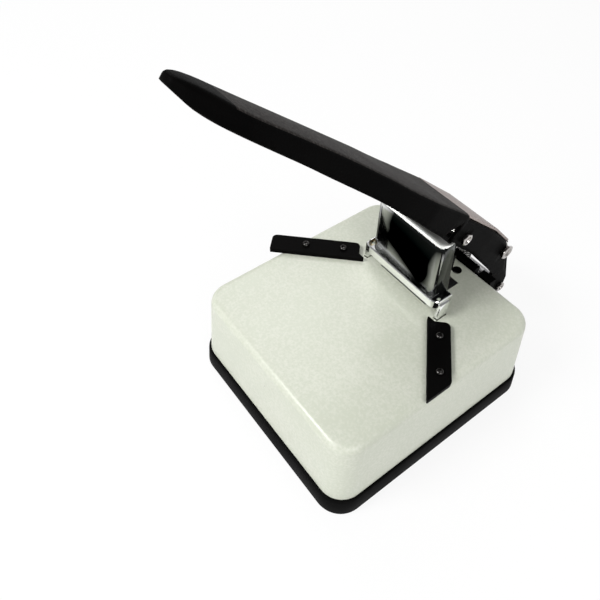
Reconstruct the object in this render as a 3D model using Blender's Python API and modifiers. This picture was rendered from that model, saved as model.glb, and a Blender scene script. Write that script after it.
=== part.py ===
"""Bench corner rounder: an enamelled body on a moulded base, a die and two guides in its table,
a plated presser foot and guard, a ram with a radius punch, and a long pressed-steel hand lever
that turns on a bracket bolted behind the body.

Frame: +X right, +Y to the rear, +Z up. The origin is on the floor, straight below the point of the
square corner between the guides' inner edges. Lengths are in metres. A name that
ends in RISE or DROP is a height above or below the top of the body.
"""

import math

import bmesh
import bpy
from mathutils import Matrix, Vector

# Gaps
CLEARANCE = 0.0003
RUNNING_GAP = 0.00015
OVERRUN = 0.002

# Body housing and base
BODY_TOP_WIDTH = 0.129
BODY_TOP_LENGTH = 0.140
BODY_REAR_Y = 0.022
BODY_TOP_Z = 0.062
BODY_DRAFT = 0.004
BODY_CORNER_RADIUS = 0.014
BODY_EDGE_RADIUS = 0.004
BODY_WALL = 0.004
BODY_TOP_WALL = 0.005
BASE_HEIGHT = 0.014
BASE_PROUD = 0.0015
BASE_FLOOR = 0.003
BASE_LIP_HEIGHT = 0.005
BASE_LIP_WALL = 0.002
TABLE_HOLE_RADIUS = 0.003
TABLE_HOLE_X = 0.0111
TABLE_HOLE_Y = 0.0136

# Flat seat for the bracket in the body's rear wall, with a thicker wall behind it
SEAT_Y = 0.0221
SEAT_FOOT_Z = 0.0207
SEAT_BACKING = 0.0045
SEAT_BACKING_SIDE = 0.003
SEAT_OVERLAP = 0.0005

# Punch and die
CORNER_RADIUS = 0.010
PUNCH_HALF_WIDTH = 0.012
PUNCH_REAR_Y = 0.0035
PUNCH_REST_RISE = 0.0086
PUNCH_SCREW_X = 0.006
PUNCH_SCREW_Y = -0.001
PUNCH_SCREW_GRIP = 0.005
DIE_HALF_WIDTH = 0.0186
DIE_FRONT_Y = -0.020
DIE_REAR_Y = 0.0065
DIE_SCREW_X = 0.0105
DIE_SCREW_Y = -0.0172
CHASSIS_HALF_WIDTH = 0.0275
CHASSIS_FRONT_Y = -0.030
CHASSIS_REAR_Y = 0.0165
CHASSIS_THICKNESS = 0.005
CHASSIS_SCREW_X = 0.0235
CHASSIS_SCREW_FRONT_Y = -0.0262
CHASSIS_SCREW_REAR_Y = 0.0120
CHIP_HOLE_MARGIN = 0.001

# Guides on the table
GUIDE_WIDTH = 0.0125
GUIDE_THICKNESS = 0.003
GUIDE_CUT_Y = -0.0268
GUIDE_RIGHT_OVERHANG = 0.001
GUIDE_RIGHT_END_X = BODY_TOP_WIDTH / 2 + GUIDE_RIGHT_OVERHANG
GUIDE_TIP_RADIUS = 0.003
GUIDE_END = 0.0415
GUIDE_INNER_RADIUS = 0.0005
GUIDE_SCREW_EDGE = 0.0074
GUIDE_SCREW_PITCH = 0.0229
GUIDE_SCREW_SECOND = (BODY_TOP_WIDTH / 2 - GUIDE_SCREW_EDGE) * math.sqrt(2) - GUIDE_WIDTH / 2
GUIDE_SCREW_FIRST = GUIDE_SCREW_SECOND - GUIDE_SCREW_PITCH
GUIDE_LEFT_TAIL = 0.0215
GUIDE_LEFT_LENGTH = GUIDE_SCREW_SECOND + GUIDE_LEFT_TAIL

# Presser foot and guard
FOOT_HALF_WIDTH = 0.0295
FOOT_FRONT_Y = -0.026
FOOT_REAR_Y = -0.0133
FOOT_THROAT = 0.009
FOOT_THICKNESS = 0.0055
FOOT_CORNER_RADIUS = 0.0045
FOOT_TONGUE_GAP = 0.0008
FOOT_HOLE_RADIUS = 0.0012
FOOT_HOLE_X = 0.0268
FOOT_HOLE_Y = -0.0210
FOOT_GRIP = 0.004
TAB_OUTER_X = 0.0307
TAB_THICKNESS = 0.002
TAB_FRONT_Y = -0.023
TAB_REAR_Y = -0.016
TAB_REACH = 0.010
TAB_SLOT_GAP = 0.0005
GUARD_FRONT_HALF = 0.0245
GUARD_FLARE = 0.002
GUARD_REAR_HALF = GUARD_FRONT_HALF + GUARD_FLARE
GUARD_CORNER_RADIUS = 0.0045
GUARD_TOP_RISE = 0.052
GUARD_SHEET = 0.0015
GUARD_FLANGE_DEPTH = 0.0065
GUARD_TOP_REAR_Y = -0.0172
GUARD_LUG_WIDTH = 0.0057
GUARD_LUG_OVERLAP = 0.0001
GUARD_LUG_OUTER_X = GUARD_FRONT_HALF + GUARD_LUG_OVERLAP
GUARD_LUG_INNER_X = GUARD_LUG_OUTER_X - GUARD_LUG_WIDTH
GUARD_LUG_FRONT_Y = -0.0205
GUARD_LUG_REAR_Y = -0.0155
GUARD_SCREW_INSET = 0.0032
GUARD_SCREW_X = GUARD_LUG_OUTER_X - GUARD_SCREW_INSET
GUARD_SCREW_Y = -0.018

# Ram, its posts and the presser bolts
RAM_HALF_WIDTH = 0.0186
RAM_FRONT_Y = -0.0205
RAM_REAR_Y = -0.0035
RAM_UNDERSIDE_RISE = 0.018
RAM_SHOULDER_RISE = 0.030
TONGUE_HALF_WIDTH = 0.011
TONGUE_WALL = 0.0020
POST_RADIUS = 0.0025
POST_X = 0.0150
POST_Y = -0.0085
POST_TOP_RISE = 0.0265
PRESSER_BOLT_X = 0.0143
PRESSER_BOLT_Y = -0.016
PRESSER_BOLT_RADIUS = 0.0018
PRESSER_BOLT_HEAD_RADIUS = 0.0027
PRESSER_BOLT_HEAD = 0.0022
PRESSER_SPRING_RADIUS = 0.0027
PRESSER_SPRING_WIRE = 0.00035
PRESSER_SPRING_POCKET = 0.0095
PRESSER_CURLS = 7

# Lever pivot, link and tie
PIVOT_Y = 0.044
PIVOT_RISE = 0.005
LINK_Y = -0.003
LINK_RISE = 0.044
TIE_Y = 0.0595
TIE_DROP = 0.041
LEVER_ANGLE = math.radians(40.1)
LEVER_TRAVEL = math.radians(12.0)
PIVOT_BOLT_RADIUS = 0.0032
PIVOT_HEAD_ACROSS = 0.0084
BOLT_HEAD_HEIGHT = 0.0022
LINK_BOLT_RADIUS = 0.0030
LINK_HEAD_ACROSS = 0.0076
LINK_SLOT_TOP_GAP = 0.0006
SPACER_WALL = 0.0018
SLEEVE_WALL = 0.0012
TIE_BOLT_RADIUS = 0.0026
TIE_HEAD_ACROSS = 0.0072
NUT_HEIGHT = 0.0035

# Lever pressing and its cover plate
LEVER_SHEET = 0.002
LEVER_HALF_WIDTH = 0.020
LEVER_LENGTH = 0.2543
LEVER_DEPTH = 0.012
LEVER_EDGE_RADIUS = 0.003
LEVER_ROOF_START = 0.0060
LEVER_ROOF_EDGE = 0.0003
LEVER_WINDOW_START = 0.0465
LEVER_WINDOW_END = 0.0640
LEVER_WINDOW_GAP = 0.001
LEVER_RELIEF_GAP = 0.0008
LEVER_RELIEF_RADIUS = 0.001
COVER_SHEET = 0.0014
COVER_INSET = 0.001

# Along the lever from its pivot to its tip, as shares of its length, half width, depth and depth
LEVER_SHARES = (
    (-0.1097, 1.000, -1.192, -1.233),
    (-0.0427, 1.000, -0.250, -1.383),
    (-0.0055, 1.000, 0.283, -1.250),
    (0.0079, 1.000, 0.433, -1.200),
    (0.1074, 1.000, 0.708, -0.833),
    (0.1648, 1.000, 0.754, -0.625),
    (0.2737, 1.000, 0.800, -0.467),
    (0.2768, 1.000, 0.942, -0.458),
    (0.4062, 1.000, 0.917, -0.175),
    (0.4337, 0.965, 0.917, -0.108),
    (0.4904, 0.900, 0.925, -0.017),
    (0.5682, 0.775, 0.967, 0.100),
    (0.6870, 0.625, 0.983, 0.183),
    (0.7943, 0.575, 0.967, 0.300),
    (0.8753, 0.550, 0.950, 0.383),
    (0.9060, 0.500, 0.958, 0.425),
    (0.9390, 0.360, 0.983, 0.467),
    (0.9630, 0.275, 1.008, 0.567),
    (0.9811, 0.215, 1.025, 0.675),
    (0.9949, 0.160, 1.000, 0.742),
    (1.0000, 0.110, 0.933, 0.800),
)
CHANNEL_END_SHARE = 0.9390
COVER_SHARES = ((0.0142, 0.592), (0.1074, 0.850), (0.2725, 0.942))

# Rear bracket
WEB_HALF_WIDTH = 0.030
WEB_THICKNESS = 0.005
WEB_TOP_DROP = 0.0005
WEB_FOOT_Z = 0.021
WEB_NOTCH_GAP = 0.0006
WEB_NOTCH_DROP = 0.006
CHEEK_OUTER_X = 0.017
CHEEK_THICKNESS = 0.0025
CHEEK_BOSS_RADIUS = 0.0062
CHEEK_JOIN_DROP = 0.028
CHEEK_KNEE_Y = 0.046
CHEEK_KNEE_DROP = 0.018
CHEEK_REAR_Y = 0.065
CHEEK_REAR_DROP = 0.035
CHEEK_FOOT_DROP = 0.050
CHEEK_FOOT_RADIUS = 0.005
CHEEK_STEP_Y = 0.0285
SHELF_THICKNESS = 0.0025
SHELF_REAR_Y = 0.0405
SHELF_DROP = 0.027
BRACKET_SCREW_X = 0.0245
BRACKET_SCREW_HIGH_Z = 0.050
BRACKET_SCREW_LOW_Z = 0.030

# Return spring and its seat in the lever
SPRING_Y = 0.0331
SPRING_RADIUS = 0.0045
SPRING_WIRE = 0.0006
SPRING_CURLS = 22
SPRING_SEAT_RISE = 0.013
SPRING_SEAT_FRONT_Y = 0.0279
SPRING_SEAT_REAR_Y = 0.0389
SPRING_SEAT_BREAK_Y = 0.0355
SPRING_SEAT_THICKNESS = 0.0046
SPRING_SEAT_EDGE = 0.0010

# Small screws
SCREW_RADIUS = 0.0015
SCREW_HEAD_RADIUS = 0.0027
SMALL_HEAD_RADIUS = 0.00215
SCREW_HEAD = 0.0016
SCREW_CROWN_SHARE = 0.7
SCREW_RIM_SHARE = 0.45
SCREW_GRIP = 0.0035
SOCKET_RADIUS = 0.0011
SOCKET_DEPTH = 0.0009

# Counts
CORNER_STEPS = 6
EDGE_STEPS = 3
ROUND_STEPS = 20
SMALL_STEPS = 14
CURL_POINTS = 9


def fresh_scene():
    for item in list(bpy.data.objects):
        bpy.data.objects.remove(item, do_unlink=True)


fresh_scene()
PARTS = bpy.data.collections.new("corner_rounder")
CUTTERS = bpy.data.collections.new("corner_rounder_cutters")
bpy.context.scene.collection.children.link(PARTS)
bpy.context.scene.collection.children.link(CUTTERS)


def finish(name, colour, roughness, metallic):
    """A Principled material."""
    material = bpy.data.materials.new(name)
    material.use_nodes = True
    shader = material.node_tree.nodes["Principled BSDF"]
    shader.inputs["Base Color"].default_value = (*colour, 1.0)
    shader.inputs["Roughness"].default_value = roughness
    shader.inputs["Metallic"].default_value = metallic
    return material


ENAMEL = finish("grey_green_enamel", (0.60, 0.63, 0.53), 0.35, 0.0)
RUBBER = finish("black_rubber", (0.015, 0.015, 0.015), 0.7, 0.0)
BLACK = finish("black_powder_coat", (0.02, 0.018, 0.017), 0.55, 0.0)
COVER = finish("warm_grey_coat", (0.40, 0.34, 0.32), 0.6, 0.0)
CHROME = finish("chrome_plate", (0.75, 0.75, 0.74), 0.08, 1.0)
STEEL = finish("ground_steel", (0.55, 0.55, 0.56), 0.3, 1.0)
ZINC = finish("bright_zinc", (0.70, 0.69, 0.67), 0.25, 1.0)


def add(name, mesh, material, collection=PARTS):
    """Link a mesh as an object, shaded smooth with its sharp edges kept."""
    item = bpy.data.objects.new(name, mesh)
    collection.objects.link(item)
    mesh.materials.clear()
    mesh.materials.append(material)
    mesh.shade_smooth()
    mesh.set_sharp_from_angle(angle=math.radians(35))
    return item


def as_cutter(item):
    for owner in list(item.users_collection):
        owner.objects.unlink(item)
    CUTTERS.objects.link(item)
    item.hide_render = True
    item.display_type = "WIRE"
    return item


def combine(item, other, operation="DIFFERENCE"):
    """A Boolean with another object, which joins the cutters."""
    as_cutter(other)
    step = item.modifiers.new(operation.lower() + "_" + other.name, "BOOLEAN")
    step.operation = operation
    step.solver = "EXACT"
    step.object = other
    return item


def mesh_of(item):
    """The evaluated mesh of an object, with loose caps welded; the object is removed."""
    bpy.context.view_layer.update()
    graph = bpy.context.evaluated_depsgraph_get()
    mesh = bpy.data.meshes.new_from_object(item.evaluated_get(graph))
    body = bmesh.new()
    body.from_mesh(mesh)
    bmesh.ops.remove_doubles(body, verts=body.verts, dist=OVERRUN / 1000)
    bmesh.ops.recalc_face_normals(body, faces=body.faces)
    body.to_mesh(mesh)
    body.free()
    bpy.data.objects.remove(item, do_unlink=True)
    return mesh


def box(name, low, high, material=STEEL):
    """A block between two corners."""
    body = bmesh.new()
    bmesh.ops.create_cube(body, size=1.0)
    size = Vector(high) - Vector(low)
    bmesh.ops.scale(body, vec=size, verts=body.verts)
    bmesh.ops.translate(body, vec=(Vector(high) + Vector(low)) / 2, verts=body.verts)
    mesh = bpy.data.meshes.new(name)
    body.to_mesh(mesh)
    body.free()
    return add(name, mesh, material)


def rod(name, radius, start, end, material=STEEL, steps=ROUND_STEPS):
    """A cylinder between two points."""
    start, end = Vector(start), Vector(end)
    along = end - start
    body = bmesh.new()
    bmesh.ops.create_cone(
        body,
        cap_ends=True,
        segments=steps,
        radius1=radius,
        radius2=radius,
        depth=along.length,
    )
    turn = along.to_track_quat("Z", "Y").to_matrix().to_4x4()
    bmesh.ops.transform(body, matrix=Matrix.Translation((start + end) / 2) @ turn, verts=body.verts)
    mesh = bpy.data.meshes.new(name)
    body.to_mesh(mesh)
    body.free()
    return add(name, mesh, material)


def plate(name, outline, thickness, material=STEEL, holes=()):
    """A flat outline in XY, as a filled 2D curve with its thickness centred on z = 0."""
    curve = bpy.data.curves.new(name, "CURVE")
    curve.dimensions = "2D"
    curve.fill_mode = "BOTH"
    curve.extrude = thickness / 2
    for loop in (outline, *holes):
        spline = curve.splines.new("POLY")
        spline.points.add(len(loop) - 1)
        for point, place in zip(spline.points, loop):
            point.co = (place[0], place[1], 0.0, 1.0)
        spline.use_cyclic_u = True
    item = bpy.data.objects.new(name, curve)
    PARTS.objects.link(item)
    return add(name, mesh_of(item), material)


def shift(item, x=0.0, y=0.0, z=0.0):
    item.data.transform(Matrix.Translation((x, y, z)))
    return item


def turn_to_side(item):
    """Stand a plate drawn in XY on edge: its x becomes +Y, its y becomes +Z and its thickness lies along X."""
    item.data.transform(Matrix(((0, 0, 1, 0), (1, 0, 0, 0), (0, 1, 0, 0), (0, 0, 0, 1))))
    return item


def turned(name, profile, place, axis, material, steps=SMALL_STEPS):
    """A turned piece: (radius, height) points from the top down, put on an axis at a place."""
    mesh = bpy.data.meshes.new(name + "_profile")
    points = [(radius, 0.0, height) for radius, height in profile]
    mesh.from_pydata(points, [(i, i + 1) for i in range(len(points) - 1)], [])
    item = bpy.data.objects.new(name + "_profile", mesh)
    PARTS.objects.link(item)
    screw = item.modifiers.new("turn", "SCREW")
    screw.axis = "Z"
    screw.steps = steps
    screw.render_steps = steps
    screw.use_merge_vertices = True
    screw.merge_threshold = OVERRUN / 100
    made = add(name, mesh_of(item), material)
    made.rotation_mode = "QUATERNION"
    made.rotation_quaternion = Vector(axis).to_track_quat("Z", "Y")
    made.location = place
    return made


def arc(centre, radius, start, end, steps):
    """Points on an arc, both ends included, with angles in degrees."""
    found = []
    for i in range(steps + 1):
        angle = math.radians(start + (end - start) * i / steps)
        found.append((centre[0] + radius * math.cos(angle), centre[1] + radius * math.sin(angle)))
    return found


def rounded(outline, radii, steps=4):
    """The outline with each corner rounded by its own radius."""
    found = []
    count = len(outline)
    for i, corner in enumerate(outline):
        radius = radii[i % len(radii)]
        corner = Vector(corner)
        before = Vector(outline[i - 1]) - corner
        after = Vector(outline[(i + 1) % count]) - corner
        if radius <= 0.0:
            found.append(tuple(corner))
            continue
        half = before.angle(after) / 2
        reach = radius / math.tan(half)
        start = corner + before.normalized() * reach
        end = corner + after.normalized() * reach
        centre = corner + (before.normalized() + after.normalized()).normalized() * radius / math.sin(half)
        first = math.atan2(start.y - centre.y, start.x - centre.x)
        sweep = math.atan2(end.y - centre.y, end.x - centre.x) - first
        sweep = (sweep + math.pi) % (2 * math.pi) - math.pi
        for k in range(steps + 1):
            angle = first + sweep * k / steps
            found.append((centre.x + radius * math.cos(angle), centre.y + radius * math.sin(angle)))
    return found


def coil(name, radius, wire, low, high, curls, place, material):
    """A round-wire compression spring on a vertical axis, as one unbroken tube."""
    curve = bpy.data.curves.new(name, "CURVE")
    curve.dimensions = "3D"
    curve.bevel_depth = wire
    curve.bevel_resolution = 1
    curve.use_fill_caps = True
    total = curls * CURL_POINTS
    points = []
    for i in range(total + 1):
        angle = 2 * math.pi * i / CURL_POINTS
        height = low + (high - low) * i / total
        points.append(Vector((radius * math.cos(angle), radius * math.sin(angle), height)))
    spline = curve.splines.new("POLY")
    spline.points.add(len(points) - 1)
    for point, spot in zip(spline.points, points):
        point.co = (*spot, 1.0)
    report_gap(name, points, wire)
    item = bpy.data.objects.new(name, curve)
    PARTS.objects.link(item)
    made = add(name, mesh_of(item), material)
    made.location = place
    return made


def report_gap(name, points, wire):
    """Print the least gap between turns of a wound wire, measured from point to point."""
    least = None
    for i, first in enumerate(points):
        for second in points[i + CURL_POINTS // 2 :]:
            gap = (first - second).length - 2 * wire
            if least is None or gap < least:
                least = gap
    print(f"{name}: least gap of the wire to itself {least:.5f} m")


def socket_screw(name, place, axis, length, head_radius=SCREW_HEAD_RADIUS, material=ZINC):
    """A low button-head screw with a round drive recess, its head's seat at the place."""
    profile = [
        (0.0, SCREW_HEAD - SOCKET_DEPTH),
        (SOCKET_RADIUS, SCREW_HEAD - SOCKET_DEPTH),
        (SOCKET_RADIUS, SCREW_HEAD),
        (head_radius * SCREW_CROWN_SHARE, SCREW_HEAD),
        (head_radius, SCREW_HEAD * SCREW_RIM_SHARE),
        (head_radius, 0.0),
        (SCREW_RADIUS, 0.0),
        (SCREW_RADIUS, -length),
        (0.0, -length),
    ]
    return turned(name, profile, place, axis, material)


def hole(item, name, radius, start, end, steps=SMALL_STEPS):
    """Cut a round hole between two points."""
    return combine(item, rod(name, radius, start, end, steps=steps))


def hex_bolt(name, radius, across, head, seat, tip, material=ZINC):
    """A hexagon-head bolt lying along X: the head stands out past its seat, away from the tip."""
    y, z = seat[1], seat[2]
    side = math.copysign(1.0, seat[0] - tip[0])
    body = rod(name, radius, (seat[0] + side * head / 2, y, z), tip, material)
    cap = rod(
        name + "_head",
        across / 2 / math.cos(math.pi / 6),
        (seat[0], y, z),
        (seat[0] + side * head, y, z),
        material,
        6,
    )
    bevel = cap.modifiers.new("edge", "BEVEL")
    bevel.width = head / 6
    bevel.segments = 1
    bevel.limit_method = "ANGLE"
    return combine(body, cap, "UNION")


def hex_nut(name, across, inner, x_start, x_end, y, z, material=ZINC):
    nut = rod(name, across / 2 / math.cos(math.pi / 6), (x_start, y, z), (x_end, y, z), material, 6)
    bore = rod(name + "_bore", inner, (x_start - OVERRUN, y, z), (x_end + OVERRUN, y, z), material)
    return combine(nut, bore)


def sleeve(name, outer, inner, x_start, x_end, y, z, material=ZINC):
    tube = rod(name, outer, (x_start, y, z), (x_end, y, z), material)
    bore = rod(name + "_bore", inner, (x_start - OVERRUN, y, z), (x_end + OVERRUN, y, z), material)
    return combine(tube, bore)


def half_width(z):
    """Half the body's outer width at a height, from its drafted walls."""
    return BODY_TOP_WIDTH / 2 + BODY_DRAFT * (BODY_TOP_Z - z) / (BODY_TOP_Z - BASE_HEIGHT)


def drafted_box(name, z_low, z_high, inset, corner, edge, material):
    """A box that follows the body's drafted walls between two heights, set in by an amount."""
    body = bmesh.new()
    bmesh.ops.create_cube(body, size=2.0)
    middle = BODY_REAR_Y - BODY_TOP_LENGTH / 2
    for vert in body.verts:
        z = z_high if vert.co.z > 0 else z_low
        grow = half_width(z) - inset
        x = math.copysign(grow, vert.co.x)
        y = middle + math.copysign(grow - BODY_TOP_WIDTH / 2 + BODY_TOP_LENGTH / 2, vert.co.y)
        vert.co = (x, y, z)
    upright = [e for e in body.edges if abs(e.verts[0].co.z - e.verts[1].co.z) > (z_high - z_low) / 2]
    bmesh.ops.bevel(body, geom=upright, offset=corner, segments=CORNER_STEPS, profile=0.5, affect="EDGES")
    if edge > 0.0:
        rim = [e for e in body.edges if min(v.co.z for v in e.verts) > z_high - CLEARANCE]
        bmesh.ops.bevel(body, geom=rim, offset=edge, segments=EDGE_STEPS, profile=0.5, affect="EDGES")
    mesh = bpy.data.meshes.new(name)
    body.to_mesh(mesh)
    body.free()
    return add(name, mesh, material)


BODY_FOOT_Z = BASE_HEIGHT + CLEARANCE
TABLE_UNDERSIDE = BODY_TOP_Z - BODY_TOP_WALL


def punch_outline(grow):
    """The punch in plan: a block whose front is cut to the rounded corner that it makes."""
    centre_y = -CORNER_RADIUS * math.sqrt(2)
    side = PUNCH_HALF_WIDTH + grow
    radius = CORNER_RADIUS - grow
    reach = grow * math.sqrt(2)
    return [
        (side, PUNCH_REAR_Y + grow),
        (-side, PUNCH_REAR_Y + grow),
        (-side, -side - reach),
        *arc((0.0, centre_y), radius, 135, 45, 2 * CORNER_STEPS),
        (side, -side - reach),
    ]


def guide_place(along, across, side):
    """A point on a guide: along it from the corner between the guides, and across it from its inner edge."""
    half = math.sqrt(0.5)
    return (side * (along + across) * half, (across - along) * half)

def both_sides():
    return ((-1, "left"), (1, "right"))


def span(side, inner, outer):
    """The lower and higher X of a piece between two distances from the middle, on one side."""
    return sorted((side * inner, side * outer))


def body_housing():
    """The enamelled housing, open below, with its holes, slots and rear seat."""
    housing = drafted_box(
        "body_housing", BODY_FOOT_Z, BODY_TOP_Z, 0.0, BODY_CORNER_RADIUS, BODY_EDGE_RADIUS, ENAMEL
    )
    inner_corner = BODY_CORNER_RADIUS - BODY_WALL
    hollow = drafted_box(
        "body_hollow", BODY_FOOT_Z - OVERRUN, TABLE_UNDERSIDE, BODY_WALL, inner_corner, 0.0, ENAMEL
    )
    combine(housing, hollow)
    seat_side = WEB_HALF_WIDTH + CLEARANCE
    backing = box(
        "seat_backing",
        (-seat_side - SEAT_BACKING_SIDE, SEAT_Y - SEAT_BACKING, SEAT_FOOT_Z - CLEARANCE),
        (seat_side + SEAT_BACKING_SIDE, SEAT_Y - SEAT_OVERLAP, TABLE_UNDERSIDE + OVERRUN),
    )
    combine(housing, backing, "UNION")
    seat = box(
        "bracket_seat",
        (-seat_side, SEAT_Y, SEAT_FOOT_Z),
        (seat_side, SEAT_Y + WEB_THICKNESS + OVERRUN, BODY_TOP_Z + OVERRUN),
    )
    combine(housing, seat)
    opening = box(
        "die_opening",
        (-DIE_HALF_WIDTH - CLEARANCE, DIE_FRONT_Y - CLEARANCE, TABLE_UNDERSIDE - OVERRUN),
        (DIE_HALF_WIDTH + CLEARANCE, DIE_REAR_Y + CLEARANCE, BODY_TOP_Z + OVERRUN),
    )
    combine(housing, opening)
    below = TABLE_UNDERSIDE - OVERRUN
    above = BODY_TOP_Z + OVERRUN
    for side, word in both_sides():
        low, high = span(side, TAB_OUTER_X - TAB_THICKNESS - TAB_SLOT_GAP, TAB_OUTER_X + TAB_SLOT_GAP)
        slot = box(
            "tab_slot_" + word,
            (low, TAB_FRONT_Y - TAB_SLOT_GAP, below),
            (high, TAB_REAR_Y + TAB_SLOT_GAP, above),
        )
        combine(housing, slot)
        x, y = side * TABLE_HOLE_X, TABLE_HOLE_Y
        hole(housing, "table_hole_" + word, TABLE_HOLE_RADIUS, (x, y, below), (x, y, above), ROUND_STEPS)
        for number, along in enumerate((GUIDE_SCREW_FIRST, GUIDE_SCREW_SECOND), 1):
            x, y = guide_place(along, GUIDE_WIDTH / 2, side)
            hole(housing, f"guide_tap_{word}_{number}", SCREW_RADIUS + CLEARANCE, (x, y, below), (x, y, above))
        for y, row in ((CHASSIS_SCREW_FRONT_Y, "front"), (CHASSIS_SCREW_REAR_Y, "rear")):
            x = side * CHASSIS_SCREW_X
            end = TABLE_UNDERSIDE + SCREW_GRIP + CLEARANCE
            hole(housing, f"chassis_tap_{row}_{word}", SCREW_RADIUS + CLEARANCE, (x, y, below), (x, y, end))
        for z, row in ((BRACKET_SCREW_LOW_Z, "low"), (BRACKET_SCREW_HIGH_Z, "high")):
            x = side * BRACKET_SCREW_X
            start = (x, SEAT_Y - SEAT_BACKING - OVERRUN, z)
            hole(housing, f"bracket_tap_{row}_{word}", SCREW_RADIUS + CLEARANCE, start, (x, SEAT_Y + OVERRUN, z))


def base_cover():
    """The moulded base: a floor with a skirt, and a lip that presses into the housing."""
    cover = drafted_box(
        "base_cover", 0.0, BASE_HEIGHT, -BASE_PROUD, BODY_CORNER_RADIUS + BASE_PROUD, 0.0, RUBBER
    )
    inset = BODY_WALL + CLEARANCE
    lip_top = BASE_HEIGHT + BASE_LIP_HEIGHT
    lip = drafted_box(
        "base_lip", BASE_HEIGHT / 2, lip_top, inset, BODY_CORNER_RADIUS - inset, 0.0, RUBBER
    )
    combine(cover, lip, "UNION")
    inset += BASE_LIP_WALL
    well = drafted_box(
        "base_well", BASE_FLOOR, lip_top + OVERRUN, inset, BODY_CORNER_RADIUS - inset, 0.0, RUBBER
    )
    combine(cover, well)


def rectangle(half_width, front, rear):
    return [(-half_width, front), (half_width, front), (half_width, rear), (-half_width, rear)]


def die_and_chassis():
    """The die let into the table, the plate under it, their screws and the two guide posts."""
    low = TABLE_UNDERSIDE
    die = plate(
        "die_plate",
        rectangle(DIE_HALF_WIDTH, DIE_FRONT_Y, DIE_REAR_Y),
        BODY_TOP_WALL,
        STEEL,
        [punch_outline(CLEARANCE)],
    )
    shift(die, z=BODY_TOP_Z - BODY_TOP_WALL / 2)
    top = low - CLEARANCE
    foot = top - CHASSIS_THICKNESS
    chassis = plate(
        "chassis_plate",
        rectangle(CHASSIS_HALF_WIDTH, CHASSIS_FRONT_Y, CHASSIS_REAR_Y),
        CHASSIS_THICKNESS,
        STEEL,
        [punch_outline(CHIP_HOLE_MARGIN)],
    )
    shift(chassis, z=top - CHASSIS_THICKNESS / 2)
    seat = foot - CLEARANCE
    reach = low - seat + SCREW_GRIP - CLEARANCE
    for side, word in both_sides():
        x, y = side * POST_X, POST_Y
        wide = POST_RADIUS + CLEARANCE
        hole(chassis, "chassis_post_" + word, wide, (x, y, foot - OVERRUN), (x, y, top + OVERRUN), ROUND_STEPS)
        above = BODY_TOP_Z + OVERRUN
        hole(die, "die_post_" + word, wide, (x, y, low - OVERRUN), (x, y, above), ROUND_STEPS)
        rod("guide_post_" + word, POST_RADIUS, (x, y, foot), (x, y, BODY_TOP_Z + POST_TOP_RISE))
        wide = SCREW_RADIUS + CLEARANCE
        for name, x, y in (
            ("die_screw_" + word, side * DIE_SCREW_X, DIE_SCREW_Y),
            ("chassis_screw_front_" + word, side * CHASSIS_SCREW_X, CHASSIS_SCREW_FRONT_Y),
            ("chassis_screw_rear_" + word, side * CHASSIS_SCREW_X, CHASSIS_SCREW_REAR_Y),
        ):
            hole(chassis, name + "_hole", wide, (x, y, foot - OVERRUN), (x, y, top + OVERRUN))
            socket_screw(name, (x, y, seat), (0, 0, -1), reach)
        x, y = side * DIE_SCREW_X, DIE_SCREW_Y
        hole(die, "die_tap_" + word, wide, (x, y, low - OVERRUN), (x, y, low + SCREW_GRIP))


def guide_bar(side, word):
    """A flat bar with a square upper end, its inner corner cut off before the foot."""
    across = GUIDE_WIDTH * math.sqrt(2)
    end = GUIDE_RIGHT_END_X
    if side > 0:
        far = [(end, -end), (end, across - end)]
    else:
        far = [guide_place(GUIDE_LEFT_LENGTH, 0.0, 1), guide_place(GUIDE_LEFT_LENGTH, GUIDE_WIDTH, 1)]
    near = [guide_place(GUIDE_END, GUIDE_WIDTH, 1), (GUIDE_END * math.sqrt(2) + GUIDE_CUT_Y, GUIDE_CUT_Y)]
    outline = [(-GUIDE_CUT_Y, GUIDE_CUT_Y), *far, *near]
    outline = [(side * x, y) for x, y in outline]
    tip = GUIDE_TIP_RADIUS
    radii = [GUIDE_INNER_RADIUS, GUIDE_INNER_RADIUS, tip, tip, GUIDE_INNER_RADIUS]
    bar = plate("guide_" + word, rounded(outline, radii), GUIDE_THICKNESS, BLACK)
    top = BODY_TOP_Z + CLEARANCE + GUIDE_THICKNESS
    shift(bar, z=top - GUIDE_THICKNESS / 2)
    reach = 2 * CLEARANCE + GUIDE_THICKNESS + BODY_TOP_WALL
    for number, along in enumerate((GUIDE_SCREW_FIRST, GUIDE_SCREW_SECOND), 1):
        x, y = guide_place(along, GUIDE_WIDTH / 2, side)
        name = f"guide_screw_{word}_{number}"
        hole(bar, name + "_hole", SCREW_RADIUS + CLEARANCE, (x, y, BODY_TOP_Z - OVERRUN), (x, y, top + OVERRUN))
        socket_screw(name, (x, y, top + CLEARANCE), (0, 0, 1), reach, SMALL_HEAD_RADIUS)


FOOT_LOW = BODY_TOP_Z + FOOT_THROAT
FOOT_HIGH = FOOT_LOW + FOOT_THICKNESS
FOOT_TAP_FOOT = FOOT_HIGH - FOOT_GRIP


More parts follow.
